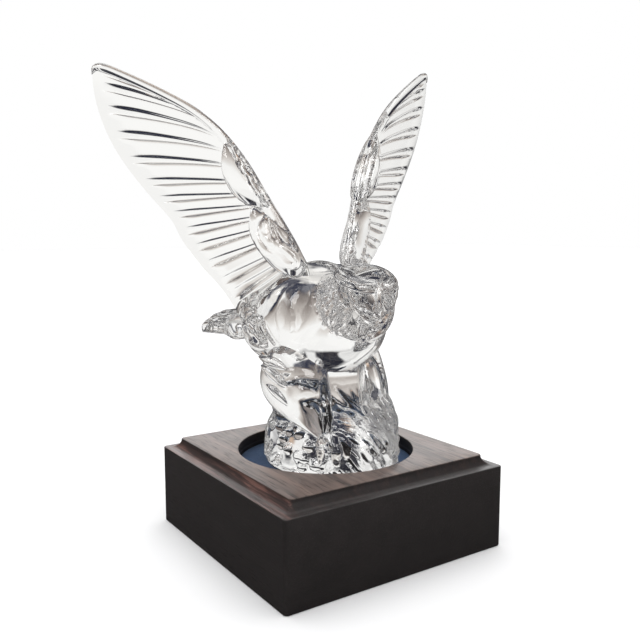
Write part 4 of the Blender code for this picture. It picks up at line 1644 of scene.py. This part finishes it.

# %% [markdown]
# ## Dark stained wood
# The wood is a close-grained hardwood under near-black brown stain. Its grain runs from front to back:
# long streaks on the top and two sides, and short speckled end grain on the others. The stain takes
# deeper in the pores. The top panel is painted paler than the sides, a painted sheen for light glancing
# off it, and it shines a little under its satin lacquer, as does the ledge. The moulding on the left is
# rubbed through to red wood.

# %% Wood finish
STAIN_DARK = (0.0100, 0.0086, 0.0086)
STAIN_LIGHT = (0.0410, 0.0340, 0.0330)
RED_DARK = (0.014, 0.008, 0.008)
# A pale tone painted on the top panel: a painted sheen for light glancing off its lacquer.
PAINTED_PANEL_SHEEN = (0.190, 0.136, 0.115)
RED_LIGHT = (0.190, 0.098, 0.080)
GRAIN_STRETCH = 0.045  # how fast the pattern changes along the grain, against across it
GRAIN_WANDER = 0.006
# Heights over which a part of the finish comes in, and those over which it goes.
PANEL_FROM = (0.0508, 0.0514)
MOULDING = (0.0452, 0.0464, 0.0506, 0.0514)
LEDGE_SHINE = (0.0452, 0.0456, 0.0462, 0.0468)
WORN_FROM = (0.0605, 0.0625)  # metres to the left, over which the wear begins
WORN_ELSEWHERE = 0.06  # how worn the moulding is elsewhere
LACQUER_ON_PANEL = 0.36
LACQUER_ON_LEDGE = 0.5
# Noises: scale, detail and roughness.
STREAKS = (520.0, 4.0, 0.62)
FIGURE = (85.0, 2.0)
SCUFFS = (240.0, 5.0, 0.7)
PORE_SCALE = 1250.0
WOOD_BUMP = (0.6, 0.0003)  # strength and distance


def wood_finish():
    finish, graph, shader = new_finish("dark_wood")
    place = graph.add("ShaderNodeTexCoord", output="Object")
    x, y, z = graph.axes(place)
    wander = (graph.noise(place, 14.0, 1.0) - 0.5) * GRAIN_WANDER
    grain = graph.add("ShaderNodeCombineXYZ", sockets={0: x + wander, 1: y * GRAIN_STRETCH, 2: z})
    streaks = graph.noise(grain, *STREAKS)
    figure = graph.noise(grain, *FIGURE)
    scuffs = graph.noise(grain, *SCUFFS)
    cells = graph.add("ShaderNodeTexVoronoi", sockets={"Vector": grain, "Scale": PORE_SCALE})
    pores = 1 - cells.rises(0.08, 0.32)
    top = z.rises(*PANEL_FROM)
    tone = (streaks * 0.7 + figure * 0.7 - pores * 0.35).rises(0.35, 1.0)
    # Painted sheen: here and in the next line the top panel is painted paler than the sides, for light
    # glancing off it.
    colour = graph.mix(tone * (0.20 + top * 0.80) + 0.15 * (1 - top), STAIN_DARK, STAIN_LIGHT)
    colour = graph.mix(top * tone, colour, PAINTED_PANEL_SHEEN)
    left = WORN_ELSEWHERE + (1 - WORN_ELSEWHERE) * (x * -1).rises(*WORN_FROM)
    worn = z.plateau(*MOULDING) * left * (scuffs.rises(0.48, 0.62) * 0.7 + 0.3)
    colour = graph.mix(worn, colour, graph.mix(scuffs.rises(0.3, 0.7), RED_DARK, RED_LIGHT))
    lacquer = top * LACQUER_ON_PANEL + z.plateau(*LEDGE_SHINE) * LACQUER_ON_LEDGE
    surface = {
        "Base Color": colour,
        "Roughness": 0.42 + streaks * 0.14 + pores * 0.2,
        "Specular IOR Level": 0.2,
        "Coat Weight": lacquer,
        "Coat Roughness": 0.45,
        "Normal": graph.bump(streaks * 0.7 - pores, *WOOD_BUMP),
    }
    graph.fill(shader, surface)
    return finish


plinth.data.materials.clear()
plinth.data.materials.append(wood_finish())
lit_by_wood_light = bpy.data.collections.new("lit_by_wood_light")
lit_by_wood_light.objects.link(plinth)
wood_light.light_linking.receiver_collection = lit_by_wood_light
print("wood", [material.name for material in plinth.data.materials])

# %% [markdown]
# ## Felt
# Felt is matted wool: flat, deep blue and without gloss, with a short fuzzy nap. The disc could be grown
# as hair, but its fibres are too fine to be seen one by one. So two noises mottle its colour, a fine bump
# roughens it, and a little sheen stands for the nap.

# %% Felt finish
FELT_DARK = (0.013, 0.034, 0.080)
FELT_LIGHT = (0.030, 0.080, 0.180)
FIBRES = (2600.0, 3.0, 0.7)
MATTING = (180.0, 2.0)
FELT_BUMP = (0.6, 0.0003)


def felt_finish():
    finish, graph, shader = new_finish("navy_felt")
    place = graph.add("ShaderNodeTexCoord", output="Object")
    fibres = graph.noise(place, *FIBRES)
    matting = graph.noise(place, *MATTING)
    surface = {
        "Base Color": graph.mix(fibres * 0.6 + matting * 0.4, FELT_DARK, FELT_LIGHT),
        "Roughness": 1.0,
        "Specular IOR Level": 0.1,
        "Sheen Weight": 0.3,
        "Normal": graph.bump(fibres, *FELT_BUMP),
    }
    graph.fill(shader, surface)
    return finish


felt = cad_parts["blue_felt_lining"]
felt.data.materials.clear()
felt.data.materials.append(felt_finish())
print("felt", [material.name for material in felt.data.materials])

# %% [markdown]
# ## Hand over
# Each new piece rides on the root body, and the imported solid that it stands for is hidden.

# %% Hand over
for piece, node, slot in (
    (eagle, "crystal_eagle", "clear_crystal"),
    (plinth, "wooden_plinth", "dark_wood"),
):
    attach(piece, "root")
    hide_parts(node)
